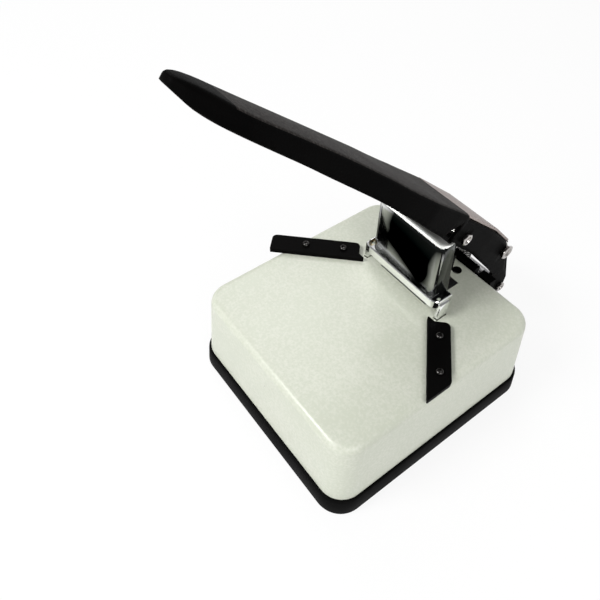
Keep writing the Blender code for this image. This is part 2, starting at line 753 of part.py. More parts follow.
def presser_foot():
    """The plated foot: a plate with a round tongue behind the cut and two guide tabs."""
    centre_y = -CORNER_RADIUS * math.sqrt(2)
    tongue = CORNER_RADIUS - FOOT_TONGUE_GAP
    lift = math.degrees(math.asin((FOOT_REAR_Y - centre_y) / tongue))
    corners = rectangle(FOOT_HALF_WIDTH, FOOT_FRONT_Y, FOOT_REAR_Y)
    corners = rounded(corners, [FOOT_CORNER_RADIUS, FOOT_CORNER_RADIUS, 0.0, 0.0])
    rounding = arc((0.0, centre_y), tongue, lift, 180 - lift, 2 * CORNER_STEPS)
    foot = plate("presser_foot", [*corners[:-1], *rounding, corners[-1]], FOOT_THICKNESS, CHROME)
    shift(foot, z=(FOOT_LOW + FOOT_HIGH) / 2)
    above = FOOT_HIGH + OVERRUN
    for side, word in both_sides():
        low, high = span(side, TAB_OUTER_X - TAB_THICKNESS, TAB_OUTER_X)
        tab = box(
            "foot_tab_" + word,
            (low, TAB_FRONT_Y, BODY_TOP_Z - TAB_REACH),
            (high, TAB_REAR_Y, FOOT_LOW + FOOT_THICKNESS / 2),
        )
        combine(foot, tab, "UNION")
        x, y = side * FOOT_HOLE_X, FOOT_HOLE_Y
        hole(foot, "foot_hole_" + word, FOOT_HOLE_RADIUS, (x, y, FOOT_LOW - OVERRUN), (x, y, above))
        x, y = side * PRESSER_BOLT_X, PRESSER_BOLT_Y
        wide = PRESSER_BOLT_RADIUS + CLEARANCE
        hole(foot, "foot_bolt_tap_" + word, wide, (x, y, FOOT_TAP_FOOT), (x, y, above))
        x, y = side * GUARD_SCREW_X, GUARD_SCREW_Y
        hole(foot, "foot_screw_tap_" + word, SCREW_RADIUS + CLEARANCE, (x, y, FOOT_TAP_FOOT), (x, y, above))


def guard_outline(inset, rear):
    """The guard in plan, open to the rear: set in by the sheet for its inner face."""
    front_y = FOOT_FRONT_Y + inset
    slope = (GUARD_REAR_HALF - GUARD_FRONT_HALF) / (FOOT_REAR_Y - FOOT_FRONT_Y)
    front = GUARD_FRONT_HALF - inset
    back = front + slope * (rear - front_y)
    corner = GUARD_CORNER_RADIUS - inset
    outline = [(-back, rear), (-front, front_y), (front, front_y), (back, rear)]
    return rounded(outline, [0.0, corner, corner, 0.0], CORNER_STEPS)


def guard_shield():
    """The plated guard: a folded sheet with round front corners, tapering cheeks and a top flange."""
    low = FOOT_HIGH + CLEARANCE
    high = BODY_TOP_Z + GUARD_TOP_RISE
    guard = plate("guard_shield", guard_outline(0.0, FOOT_REAR_Y), high - low, CHROME)
    shift(guard, z=(low + high) / 2)
    roof = high - GUARD_SHEET
    inside = plate("guard_inside", guard_outline(GUARD_SHEET, FOOT_REAR_Y + OVERRUN), roof - low + OVERRUN)
    shift(inside, z=(low - OVERRUN + roof) / 2)
    combine(guard, inside)
    inner = GUARD_FRONT_HALF - GUARD_SHEET
    top = box(
        "guard_top_cut",
        (-inner, FOOT_FRONT_Y + GUARD_FLANGE_DEPTH, roof - OVERRUN),
        (inner, FOOT_REAR_Y + OVERRUN, high + OVERRUN),
    )
    combine(guard, top)
    behind = FOOT_REAR_Y + 2 * OVERRUN
    taper = [
        (GUARD_TOP_REAR_Y, high + OVERRUN),
        (GUARD_TOP_REAR_Y, high),
        (FOOT_REAR_Y, low),
        (behind, low),
        (behind, high + OVERRUN),
    ]
    combine(guard, turn_to_side(plate("guard_taper", taper, 4 * GUARD_REAR_HALF)))
    for side, word in both_sides():
        ends = span(side, GUARD_LUG_INNER_X, GUARD_LUG_OUTER_X)
        lug = box(
            "guard_lug_" + word,
            (ends[0], GUARD_LUG_FRONT_Y, low),
            (ends[1], GUARD_LUG_REAR_Y, low + GUARD_SHEET),
        )
        combine(guard, lug, "UNION")
        x, y = side * GUARD_SCREW_X, GUARD_SCREW_Y
        seat = low + GUARD_SHEET
        hole(guard, "guard_screw_hole_" + word, SCREW_RADIUS + CLEARANCE, (x, y, low - OVERRUN), (x, y, seat + OVERRUN))
        reach = seat + CLEARANCE - FOOT_TAP_FOOT - CLEARANCE
        socket_screw("guard_screw_" + word, (x, y, seat + CLEARANCE), (0, 0, 1), reach, SMALL_HEAD_RADIUS)


PIVOT = Vector((0.0, PIVOT_Y, BODY_TOP_Z + PIVOT_RISE))
LINK = Vector((0.0, LINK_Y, BODY_TOP_Z + LINK_RISE))
TIE = Vector((0.0, TIE_Y, BODY_TOP_Z - TIE_DROP))


def link_forward_travel():
    """How far the link bolt moves forward when the lever is pressed home."""
    arm = (LINK - PIVOT).length
    rise = math.atan2(LINK.z - PIVOT.z, PIVOT.y - LINK.y)
    return arm * (math.cos(rise - LEVER_TRAVEL) - math.cos(rise))


def ram():
    """The black ram: a block on two posts, with a slotted tongue that the link bolt drives."""
    low = BODY_TOP_Z + RAM_UNDERSIDE_RISE
    high = BODY_TOP_Z + RAM_SHOULDER_RISE
    block = box("ram", (-RAM_HALF_WIDTH, RAM_FRONT_Y, low), (RAM_HALF_WIDTH, RAM_REAR_Y, high), BLACK)
    inner = LINK_BOLT_RADIUS + CLEARANCE
    outer = inner + TONGUE_WALL
    front = LINK_Y - link_forward_travel()
    shape = [
        *arc((LINK_Y, LINK.z), outer, 0, 90, CORNER_STEPS),
        *arc((front, LINK.z), outer, 90, 180, CORNER_STEPS),
        (front - outer, low),
        (LINK_Y + outer, low),
    ]
    combine(block, turn_to_side(plate("ram_tongue", shape, 2 * TONGUE_HALF_WIDTH)), "UNION")
    rise = LINK_SLOT_TOP_GAP - CLEARANCE
    slot = [
        *arc((LINK_Y, LINK.z + rise), inner, 0, 90, CORNER_STEPS),
        *arc((front, LINK.z + rise), inner, 90, 180, CORNER_STEPS),
        *arc((front, LINK.z), inner, 180, 270, CORNER_STEPS),
        *arc((LINK_Y, LINK.z), inner, 270, 360, CORNER_STEPS),
    ]
    combine(block, turn_to_side(plate("ram_slot", slot, 4 * TONGUE_HALF_WIDTH)))
    below = low - OVERRUN
    above = high + OVERRUN
    roof = low + PRESSER_SPRING_POCKET
    seat = high + CLEARANCE
    for side, word in both_sides():
        x, y = side * POST_X, POST_Y
        hole(block, "ram_bore_" + word, POST_RADIUS + CLEARANCE, (x, y, below), (x, y, above), ROUND_STEPS)
        x, y = side * PUNCH_SCREW_X, PUNCH_SCREW_Y
        end = low + PUNCH_SCREW_GRIP
        hole(block, "punch_tap_" + word, SCREW_RADIUS + CLEARANCE, (x, y, below), (x, y, end))
        x, y = side * PRESSER_BOLT_X, PRESSER_BOLT_Y
        hole(block, "ram_shank_" + word, PRESSER_BOLT_RADIUS + CLEARANCE, (x, y, below), (x, y, above))
        wide = PRESSER_SPRING_RADIUS + PRESSER_SPRING_WIRE + CLEARANCE
        hole(block, "ram_pocket_" + word, wide, (x, y, below), (x, y, roof), ROUND_STEPS)
        length = seat - FOOT_TAP_FOOT - CLEARANCE
        profile = [
            (0.0, PRESSER_BOLT_HEAD - SOCKET_DEPTH),
            (SOCKET_RADIUS, PRESSER_BOLT_HEAD - SOCKET_DEPTH),
            (SOCKET_RADIUS, PRESSER_BOLT_HEAD),
            (PRESSER_BOLT_HEAD_RADIUS, PRESSER_BOLT_HEAD),
            (PRESSER_BOLT_HEAD_RADIUS, 0.0),
            (PRESSER_BOLT_RADIUS, 0.0),
            (PRESSER_BOLT_RADIUS, -length),
            (0.0, -length),
        ]
        turned("presser_bolt_" + word, profile, (x, y, seat), (0, 0, 1), ZINC)
        coil(
            "presser_spring_" + word,
            PRESSER_SPRING_RADIUS,
            PRESSER_SPRING_WIRE,
            FOOT_HIGH + CLEARANCE + PRESSER_SPRING_WIRE,
            roof - CLEARANCE - PRESSER_SPRING_WIRE,
            PRESSER_CURLS,
            (x, y, 0.0),
            STEEL,
        )


def punch():
    """The hardened punch under the ram, and the two screws sunk into its face."""
    low = BODY_TOP_Z + PUNCH_REST_RISE
    high = BODY_TOP_Z + RAM_UNDERSIDE_RISE - CLEARANCE
    blade = plate("punch", punch_outline(0.0), high - low, STEEL)
    shift(blade, z=(low + high) / 2)
    sink = low + 2 * SCREW_HEAD
    for side, word in both_sides():
        x, y = side * PUNCH_SCREW_X, PUNCH_SCREW_Y
        hole(blade, "punch_hole_" + word, SCREW_RADIUS + CLEARANCE, (x, y, low - OVERRUN), (x, y, high + OVERRUN))
        hole(blade, "punch_sink_" + word, SMALL_HEAD_RADIUS + CLEARANCE, (x, y, low - OVERRUN), (x, y, sink))
        reach = high - sink + 2 * CLEARANCE + PUNCH_SCREW_GRIP - CLEARANCE
        socket_screw("punch_screw_" + word, (x, y, sink - CLEARANCE), (0, 0, -1), reach, SMALL_HEAD_RADIUS)


def lever_sections():
    """Sections along the lever, in its own frame, as (along, half width, top, lower edge)."""
    return [
        (a * LEVER_LENGTH, w * LEVER_HALF_WIDTH, t * LEVER_DEPTH, e * LEVER_DEPTH) for a, w, t, e in LEVER_SHARES
    ]


def channel_sections():
    """The hollow under the lever: one sheet inside it, and open above behind the roof's rear edge."""
    outer = lever_sections()
    side = LEVER_HALF_WIDTH - LEVER_SHEET
    above = 2 * LEVER_DEPTH
    below = -4 * LEVER_DEPTH
    start = LEVER_ROOF_START
    before = [row for row in outer if row[0] < start][-1]
    after = [row for row in outer if row[0] > start][0]
    roof = before[2] + (after[2] - before[2]) * (start - before[0]) / (after[0] - before[0])
    found = [
        (outer[0][0] - OVERRUN, side, above, below),
        (start, side, above, below),
        (start + LEVER_ROOF_EDGE, side, roof - LEVER_SHEET, below),
    ]
    for along, width, top, _ in outer:
        if start + LEVER_ROOF_EDGE < along <= CHANNEL_END_SHARE * LEVER_LENGTH:
            found.append((along, width - LEVER_SHEET, top - LEVER_SHEET, below))
    return found


def loft(name, sections, edge, material):
    """A closed solid through box sections with rounded upper edges."""
    body = bmesh.new()
    rings = []
    for along, width, top, low in sections:
        radius = min(edge, width / 2, (top - low) / 2)
        points = [(-width, low)]
        points += arc((-width + radius, top - radius), radius, 180, 90, EDGE_STEPS)
        points += arc((width - radius, top - radius), radius, 90, 0, EDGE_STEPS)
        points += [(width, low)]
        rings.append([body.verts.new((x, -along, z)) for x, z in points])
    for first, second in zip(rings, rings[1:]):
        for i in range(len(first)):
            j = (i + 1) % len(first)
            body.faces.new((first[i], first[j], second[j], second[i]))
    body.faces.new(rings[0])
    body.faces.new(list(reversed(rings[-1])))
    bmesh.ops.recalc_face_normals(body, faces=body.faces)
    mesh = bpy.data.meshes.new(name)
    body.to_mesh(mesh)
    body.free()
    return add(name, mesh, material)


AXLE_PLACE = Matrix.Translation(PIVOT) @ Matrix.Rotation(-LEVER_ANGLE, 4, "X")
AXLE = bpy.data.objects.new("lever_axis", None)
AXLE.location = PIVOT
AXLE.rotation_euler = (-LEVER_ANGLE, 0.0, 0.0)
PARTS.objects.link(AXLE)


def on_lever(item, built_in_place=False):
    """Hang a piece on the lever's axis; a piece built in world coordinates keeps its place."""
    item.parent = AXLE
    if built_in_place:
        item.matrix_parent_inverse = AXLE_PLACE.inverted()
    return item


def seen_from_lever(y, z, stroke):
    """A place in the lever's own frame, as (along, height), with the lever pressed through an angle."""
    angle = LEVER_ANGLE - stroke
    ahead, up = PIVOT.y - y, z - PIVOT.z
    return (ahead * math.cos(angle) + up * math.sin(angle), up * math.cos(angle) - ahead * math.sin(angle))


def guard_relief():
    """The path of the guard's top edge through the lever's sides while both go down, in the lever's frame."""
    top = BODY_TOP_Z + GUARD_TOP_RISE + LEVER_RELIEF_GAP
    pressed = top - FOOT_THROAT
    front = FOOT_FRONT_Y - LEVER_RELIEF_GAP
    rest = seen_from_lever(front, top, 0.0)
    home = seen_from_lever(front, pressed, LEVER_TRAVEL)
    slope = (rest[0] - home[0]) / (rest[1] - home[1])
    rear = FOOT_FRONT_Y + GUARD_FLANGE_DEPTH
    back = seen_from_lever(rear, pressed, LEVER_TRAVEL)
    under = seen_from_lever(rear, pressed - GUARD_SHEET - LEVER_RELIEF_GAP, LEVER_TRAVEL)
    inner, outer = under[0] - LEVER_RELIEF_GAP, back[0] + LEVER_RELIEF_GAP
    roof, foot = back[1] + LEVER_RELIEF_GAP, -LEVER_DEPTH
    outline = [(inner, foot), (inner, roof), (outer, roof), home, (home[0] + slope * (foot - home[1]), foot)]
    round_off = LEVER_RELIEF_RADIUS
    outline = rounded(outline, [0.0, round_off, round_off, round_off, 0.0])
    return [(-along, height) for along, height in outline]


def lever_pieces():
    """The hand lever, the cover plate on its rear end and the seat of the return spring inside it."""
    arm = on_lever(loft("lever_arm", lever_sections(), LEVER_EDGE_RADIUS, BLACK))
    channel = loft("lever_channel", channel_sections(), LEVER_EDGE_RADIUS - LEVER_SHEET, BLACK)
    combine(arm, on_lever(channel))
    relief = turn_to_side(plate("lever_relief", guard_relief(), 4 * LEVER_HALF_WIDTH))
    combine(arm, on_lever(relief))
    half = TONGUE_HALF_WIDTH + LEVER_WINDOW_GAP
    window = box("lever_window", (-half, -LEVER_WINDOW_END, 0.0), (half, -LEVER_WINDOW_START, 2 * LEVER_DEPTH))
    combine(arm, on_lever(window))
    wide = LEVER_HALF_WIDTH + OVERRUN
    for name, place, radius in (
        ("lever_pivot_hole", PIVOT, PIVOT_BOLT_RADIUS + RUNNING_GAP),
        ("lever_link_hole", LINK, LINK_BOLT_RADIUS + RUNNING_GAP),
    ):
        bore = rod(name, radius, (-wide, place.y, place.z), (wide, place.y, place.z))
        combine(arm, on_lever(bore, True))
    top = [(-a * LEVER_LENGTH, t * LEVER_DEPTH) for a, t in COVER_SHARES]
    under = [(y, z - COVER_SHEET) for y, z in reversed(top)]
    cover = plate("lever_cover_plate", top + under, 2 * (LEVER_HALF_WIDTH - COVER_INSET), COVER)
    on_lever(turn_to_side(cover))
    low = BODY_TOP_Z + SPRING_SEAT_RISE
    shape = [
        (SPRING_SEAT_FRONT_Y, low),
        (SPRING_SEAT_REAR_Y, low),
        (SPRING_SEAT_REAR_Y, low + SPRING_SEAT_EDGE),
        (SPRING_SEAT_BREAK_Y, low + SPRING_SEAT_THICKNESS),
        (SPRING_SEAT_FRONT_Y, low + SPRING_SEAT_THICKNESS),
    ]
    inner = LEVER_HALF_WIDTH - LEVER_SHEET - CLEARANCE
    seat = turn_to_side(plate("spring_seat", shape, 2 * inner, BLACK))
    on_lever(seat, True)


def fasteners():
    """The bolts, nuts, sleeves and washers on the pivot, link and tie axes."""
    lever_out = LEVER_HALF_WIDTH + CLEARANCE
    lever_in = LEVER_HALF_WIDTH - LEVER_SHEET
    cheek_out = CHEEK_OUTER_X + CLEARANCE
    cheek_in = CHEEK_OUTER_X - CHEEK_THICKNESS - CLEARANCE
    rows = (
        ("pivot", PIVOT, PIVOT_BOLT_RADIUS, PIVOT_HEAD_ACROSS, lever_out, False),
        ("link", LINK, LINK_BOLT_RADIUS, LINK_HEAD_ACROSS, lever_out, True),
        ("tie", TIE, TIE_BOLT_RADIUS, TIE_HEAD_ACROSS, cheek_out, False),
    )
    for word, axis, radius, across, out, moves in rows:
        y, z = axis.y, axis.z
        bore = radius + RUNNING_GAP
        bolt = hex_bolt(
            word + "_bolt", radius, across, BOLT_HEAD_HEIGHT, (out, y, z), (-out - NUT_HEIGHT - CLEARANCE, y, z)
        )
        nut = hex_nut(word + "_nut", across, bore, -out - NUT_HEIGHT, -out, y, z)
        if moves:
            on_lever(bolt, True)
            on_lever(nut, True)
        else:
            sleeve(word + "_sleeve", bore + SLEEVE_WALL, bore, -cheek_in, cheek_in, y, z, STEEL)
    for side, hand in both_sides():
        bore = PIVOT_BOLT_RADIUS + RUNNING_GAP
        low, high = span(side, CHEEK_OUTER_X + RUNNING_GAP, lever_in - RUNNING_GAP)
        sleeve("pivot_washer_" + hand, bore + SPACER_WALL, bore, low, high, PIVOT.y, PIVOT.z)
        bore = LINK_BOLT_RADIUS + RUNNING_GAP
        low, high = span(side, TONGUE_HALF_WIDTH + CLEARANCE, lever_in - CLEARANCE)
        on_lever(sleeve("link_spacer_" + hand, bore + SPACER_WALL, bore, low, high, LINK.y, LINK.z), True)


def rear_bracket():
    """The black bracket behind the body: a web, two cheeks that carry the lever, and the spring's shelf."""
    web_front = SEAT_Y + CLEARANCE
    web_rear = web_front + WEB_THICKNESS
    high = BODY_TOP_Z - WEB_TOP_DROP
    web = box(
        "rear_bracket", (-WEB_HALF_WIDTH, web_front, WEB_FOOT_Z), (WEB_HALF_WIDTH, web_rear, high), BLACK
    )
    join = web_front + WEB_THICKNESS / 2
    step = WEB_FOOT_Z + SEAT_OVERLAP
    foot = BODY_TOP_Z - CHEEK_FOOT_DROP
    turn = CHEEK_FOOT_RADIUS
    shape = [
        (join, BODY_TOP_Z - CHEEK_JOIN_DROP),
        (CHEEK_KNEE_Y, BODY_TOP_Z - CHEEK_JOIN_DROP),
        (CHEEK_KNEE_Y, BODY_TOP_Z - CHEEK_KNEE_DROP),
        *arc((PIVOT.y, PIVOT.z), CHEEK_BOSS_RADIUS, 195, 15, 2 * CORNER_STEPS),
        (CHEEK_REAR_Y, BODY_TOP_Z - CHEEK_REAR_DROP),
        *arc((CHEEK_REAR_Y - turn, foot + turn), turn, 0, -90, CORNER_STEPS),
        (CHEEK_STEP_Y, foot),
        (CHEEK_STEP_Y, step),
        (join, step),
    ]
    for side, word in both_sides():
        cheek = turn_to_side(plate("cheek_" + word, shape, CHEEK_THICKNESS))
        shift(cheek, x=side * (CHEEK_OUTER_X - CHEEK_THICKNESS / 2))
        combine(web, cheek, "UNION")
    across = CHEEK_OUTER_X - CHEEK_THICKNESS / 2
    shelf_top = BODY_TOP_Z - SHELF_DROP
    shelf = box(
        "spring_shelf", (-across, join, shelf_top - SHELF_THICKNESS), (across, SHELF_REAR_Y, shelf_top), BLACK
    )
    combine(web, shelf, "UNION")
    for side, word in both_sides():
        low, top = span(side, LEVER_HALF_WIDTH - LEVER_SHEET - WEB_NOTCH_GAP, LEVER_HALF_WIDTH + WEB_NOTCH_GAP)
        notch = box(
            "web_notch_" + word,
            (low, web_front - OVERRUN, high - WEB_NOTCH_DROP),
            (top, web_rear + OVERRUN, high + OVERRUN),
        )
        combine(web, notch)
        for z, row in ((BRACKET_SCREW_LOW_Z, "low"), (BRACKET_SCREW_HIGH_Z, "high")):
            x = side * BRACKET_SCREW_X
            name = f"bracket_screw_{row}_{word}"
            start = (x, web_front - OVERRUN, z)
            hole(web, name + "_hole", SCREW_RADIUS + CLEARANCE, start, (x, web_rear + OVERRUN, z))
            reach = WEB_THICKNESS + 2 * CLEARANCE + SCREW_GRIP
            socket_screw(name, (x, web_rear + CLEARANCE, z), (0, 1, 0), reach)
    wide = WEB_HALF_WIDTH + OVERRUN
    for name, place, radius in (("bracket_pivot", PIVOT, PIVOT_BOLT_RADIUS), ("bracket_tie", TIE, TIE_BOLT_RADIUS)):
        start = (-wide, place.y, place.z)
        hole(web, name + "_hole", radius + RUNNING_GAP, start, (wide, place.y, place.z), ROUND_STEPS)


def return_spring():
    """The compression spring between the bracket's shelf and the seat in the lever."""
    low = BODY_TOP_Z - SHELF_DROP + CLEARANCE + SPRING_WIRE
    high = BODY_TOP_Z + SPRING_SEAT_RISE - CLEARANCE - SPRING_WIRE
    coil("return_spring", SPRING_RADIUS, SPRING_WIRE, low, high, SPRING_CURLS, (0.0, SPRING_Y, 0.0), STEEL)


body_housing()
base_cover()
die_and_chassis()
guide_bar(-1, "left")
guide_bar(1, "right")
presser_foot()
guard_shield()
ram()
punch()
lever_pieces()
fasteners()
rear_bracket()
return_spring()
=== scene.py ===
"""The look of the bench corner rounder: every piece gets its shape in detail, its finish and its body."""

import math

import bmesh
import bpy
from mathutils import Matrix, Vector


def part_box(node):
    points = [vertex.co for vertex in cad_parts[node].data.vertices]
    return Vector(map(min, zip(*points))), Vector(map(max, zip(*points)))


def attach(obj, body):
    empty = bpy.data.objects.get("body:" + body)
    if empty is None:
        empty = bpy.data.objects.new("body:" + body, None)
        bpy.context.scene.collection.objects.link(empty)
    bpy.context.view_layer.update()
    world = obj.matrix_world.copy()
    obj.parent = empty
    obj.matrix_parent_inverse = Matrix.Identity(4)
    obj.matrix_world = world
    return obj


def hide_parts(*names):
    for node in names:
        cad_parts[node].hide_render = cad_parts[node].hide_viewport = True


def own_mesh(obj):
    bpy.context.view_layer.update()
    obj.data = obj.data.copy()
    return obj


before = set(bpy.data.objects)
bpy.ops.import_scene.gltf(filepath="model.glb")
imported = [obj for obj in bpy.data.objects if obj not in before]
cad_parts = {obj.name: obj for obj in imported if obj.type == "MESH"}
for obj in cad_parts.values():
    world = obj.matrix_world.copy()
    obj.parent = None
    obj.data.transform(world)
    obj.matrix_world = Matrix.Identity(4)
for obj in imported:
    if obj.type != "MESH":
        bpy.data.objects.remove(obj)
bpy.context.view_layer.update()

# Base cover: a moulded black rubber tray that closes the body from below and carries it. Its lip
# presses into the housing, and its skirt stands a little proud of the enamel all round.
TABLE_Z = 0.062
BASE_TOP = 0.014
BASE_LIP_TOP = 0.019
BASE_FLOOR = 0.003
BASE_PROUD = 0.0015
BASE_EDGE = 0.0012
BASE_EASE_SHARE = 0.3
BASE_RECESS = 0.0010
BASE_RIM = 0.009
BASE_LIP_INSET = 0.0043
BASE_WELL_INSET = 0.0063
FOOT_PAD_RADIUS = 0.010
FOOT_PAD_INSET = 0.024
FOOT_PAD_SHARES = ((1.5, 0.0), (0.3, 0.0), (0.0, 0.5))
BODY_HALF = 0.0645
BODY_FRONT = -0.118
BODY_REAR = 0.022
BODY_CORNER = 0.014
BODY_CORNER_STEPS = 12
BODY_DRAFT = 0.004
RUBBER_BLACK = (0.0018, 0.0018, 0.0018)
RUBBER_PATCH = (0.0040, 0.0040, 0.0038)
RUBBER_SCUFF = (0.020, 0.020, 0.019)
COAT_UNEVEN = 0.08


def spread(z):
    """How far the drafted walls stand outside their size at the top, at a height."""
    return BODY_DRAFT * (TABLE_Z - z) / (TABLE_Z - BASE_TOP)


def arc(x, y, z, radius, start, steps):
    """A quarter turn about a place, from a start angle in degrees, as points running anticlockwise."""
    points = []
    for i in range(steps + 1):
        angle = math.radians(start + 90 * i / steps)
        points.append((x + radius * math.cos(angle), y + radius * math.sin(angle), z))
    return points


def body_ring(z, inset, corner):
    """The body's outline at a height, set in by an amount, as points running anticlockwise."""
    grow = spread(z) - inset
    side, front, rear = BODY_HALF + grow - corner, BODY_FRONT - grow + corner, BODY_REAR + grow - corner
    ring = []
    for i, (x, y) in enumerate(((side, rear), (-side, rear), (-side, front), (side, front))):
        ring += arc(x, y, z, corner, 90 * i, BODY_CORNER_STEPS)
    return ring


def skin(name, shells, looped=False):
    """A mesh through rings of equal counts: shells capped at both ends, or looped back to the first ring."""
    body = bmesh.new()
    for rings in shells:
        loops = [[body.verts.new(point) for point in ring] for ring in rings]
        following = loops[1:] + loops[:1] if looped else loops[1:]
        for first, second in zip(loops, following):
            for i in range(len(first)):
                j = (i + 1) % len(first)
                body.faces.new((first[i], first[j], second[j], second[i]))
        if not looped:
            body.faces.new(list(reversed(loops[0])))
            body.faces.new(loops[-1])
    bmesh.ops.recalc_face_normals(body, faces=body.faces)
    mesh = bpy.data.meshes.new(name)
    body.to_mesh(mesh)
    body.free()
    item = bpy.data.objects.new(name, mesh)
    bpy.context.scene.collection.objects.link(item)
    return item


def smooth(item, angle=32):
    """Shade a piece smooth, but for the edges that turn by more than an angle in degrees."""
    item.data.shade_smooth()
    item.data.set_sharp_from_angle(angle=math.radians(angle))
    return item


def disc_ring(x, y, z, radius, steps=32):
    """Points round a full circle at a height."""
    turns = [2 * math.pi * i / steps for i in range(steps)]
    return [(x + radius * math.cos(turn), y + radius * math.sin(turn), z) for turn in turns]


def finish_in(item, *materials):
    """Give a piece its materials, in the order that its faces count them."""
    item.data.materials.clear()
    for material in materials:
        item.data.materials.append(material)


def effect(name, inputs, outputs):
    """A node group with float inputs and the outputs asked for, and its two end nodes."""
    group = bpy.data.node_groups.new(name, "ShaderNodeTree")
    for label, value in inputs:
        socket = group.interface.new_socket(label, in_out="INPUT", socket_type="NodeSocketFloat")
        socket.default_value = value
    for label in outputs:
        group.interface.new_socket(label, in_out="OUTPUT", socket_type="NodeSocketFloat")
    return group, group.nodes.new("NodeGroupInput"), group.nodes.new("NodeGroupOutput")


def node(tree, kind, values=None, **settings):
    """A node in a tree, with its settings and the default values of its sockets."""
    made = tree.nodes.new(kind)
    for key, value in settings.items():
        setattr(made, key, value)
    for key, value in (values or {}).items():
        made.inputs[key].default_value = value
    return made


def moulded_grain():
    """Grain of a moulded or sprayed surface: a fine height, a broad patchiness, and rare specks."""
    group, given, found = effect(
        "moulded_grain",
        (
            ("Scale", 900.0), ("Patch Scale", 30.0), ("Patch Detail", 4.0), ("Patch Shift", 0.0),
            ("Speck Scale", 260.0),
        ),
        ("Grain", "Patch", "Specks"),
    )
    place = node(group, "ShaderNodeTexCoord")
    grain = node(group, "ShaderNodeTexNoise", {"Detail": 3.0, "Roughness": 0.55})
    patch = node(group, "ShaderNodeTexNoise", {"Roughness": 0.6})
    shifted = node(group, "ShaderNodeVectorMath", operation="ADD")
    cells = node(group, "ShaderNodeTexVoronoi", {"Randomness": 1.0})
    speck = node(group, "ShaderNodeMapRange", {"From Min": 0.10, "From Max": 0.05})
    rare = node(group, "ShaderNodeMath", {1: 0.93}, operation="GREATER_THAN")
    both = node(group, "ShaderNodeMath", operation="MULTIPLY")
    link = group.links.new
    for texture, label in ((grain, "Scale"), (patch, "Patch Scale"), (cells, "Speck Scale")):
        link(place.outputs["Object"], texture.inputs["Vector"])
        link(given.outputs[label], texture.inputs["Scale"])
    link(place.outputs["Object"], shifted.inputs[0])
    link(given.outputs["Patch Shift"], shifted.inputs[1])
    link(shifted.outputs["Vector"], patch.inputs["Vector"])
    link(given.outputs["Patch Detail"], patch.inputs["Detail"])
    link(cells.outputs["Distance"], speck.inputs["Value"])
    link(cells.outputs["Color"], rare.inputs[0])
    link(speck.outputs["Result"], both.inputs[0])
    link(rare.outputs[0], both.inputs[1])
    link(grain.outputs["Fac"], found.inputs["Grain"])
    link(patch.outputs["Fac"], found.inputs["Patch"])
    link(both.outputs[0], found.inputs["Specks"])
    return group


def rubbed_edges():
    """Where a coat is rubbed thin: a mask along convex and concave edges, broken up by noise."""
    sockets = (("Width", 0.0006), ("Breakup", 220.0), ("Amount", 1.0))
    group, given, found = effect("rubbed_edges", sockets, ("Mask",))
    place = node(group, "ShaderNodeTexCoord")
    round_off = node(group, "ShaderNodeBevel", samples=4)
    true_face = node(group, "ShaderNodeNewGeometry")
    match = node(group, "ShaderNodeVectorMath", operation="DOT_PRODUCT")
    turn = node(group, "ShaderNodeMapRange", {"From Min": 0.985, "From Max": 0.90})
    noise = node(group, "ShaderNodeTexNoise", {"Detail": 5.0, "Roughness": 0.65})
    broken = node(group, "ShaderNodeMapRange", {"From Min": 0.42, "From Max": 0.62})
    product = node(group, "ShaderNodeMath", operation="MULTIPLY")
    scaled = node(group, "ShaderNodeMath", operation="MULTIPLY", use_clamp=True)
    link = group.links.new
    link(given.outputs["Width"], round_off.inputs["Radius"])
    link(round_off.outputs["Normal"], match.inputs[0])
    link(true_face.outputs["Normal"], match.inputs[1])
    link(match.outputs["Value"], turn.inputs["Value"])
    link(place.outputs["Object"], noise.inputs["Vector"])
    link(given.outputs["Breakup"], noise.inputs["Scale"])
    link(noise.outputs["Fac"], broken.inputs["Value"])
    link(turn.outputs["Result"], product.inputs[0])
    link(broken.outputs["Result"], product.inputs[1])
    link(product.outputs[0], scaled.inputs[0])
    link(given.outputs["Amount"], scaled.inputs[1])
    link(scaled.outputs[0], found.inputs["Mask"])
    return group


GRAIN = moulded_grain()
EDGES = rubbed_edges()


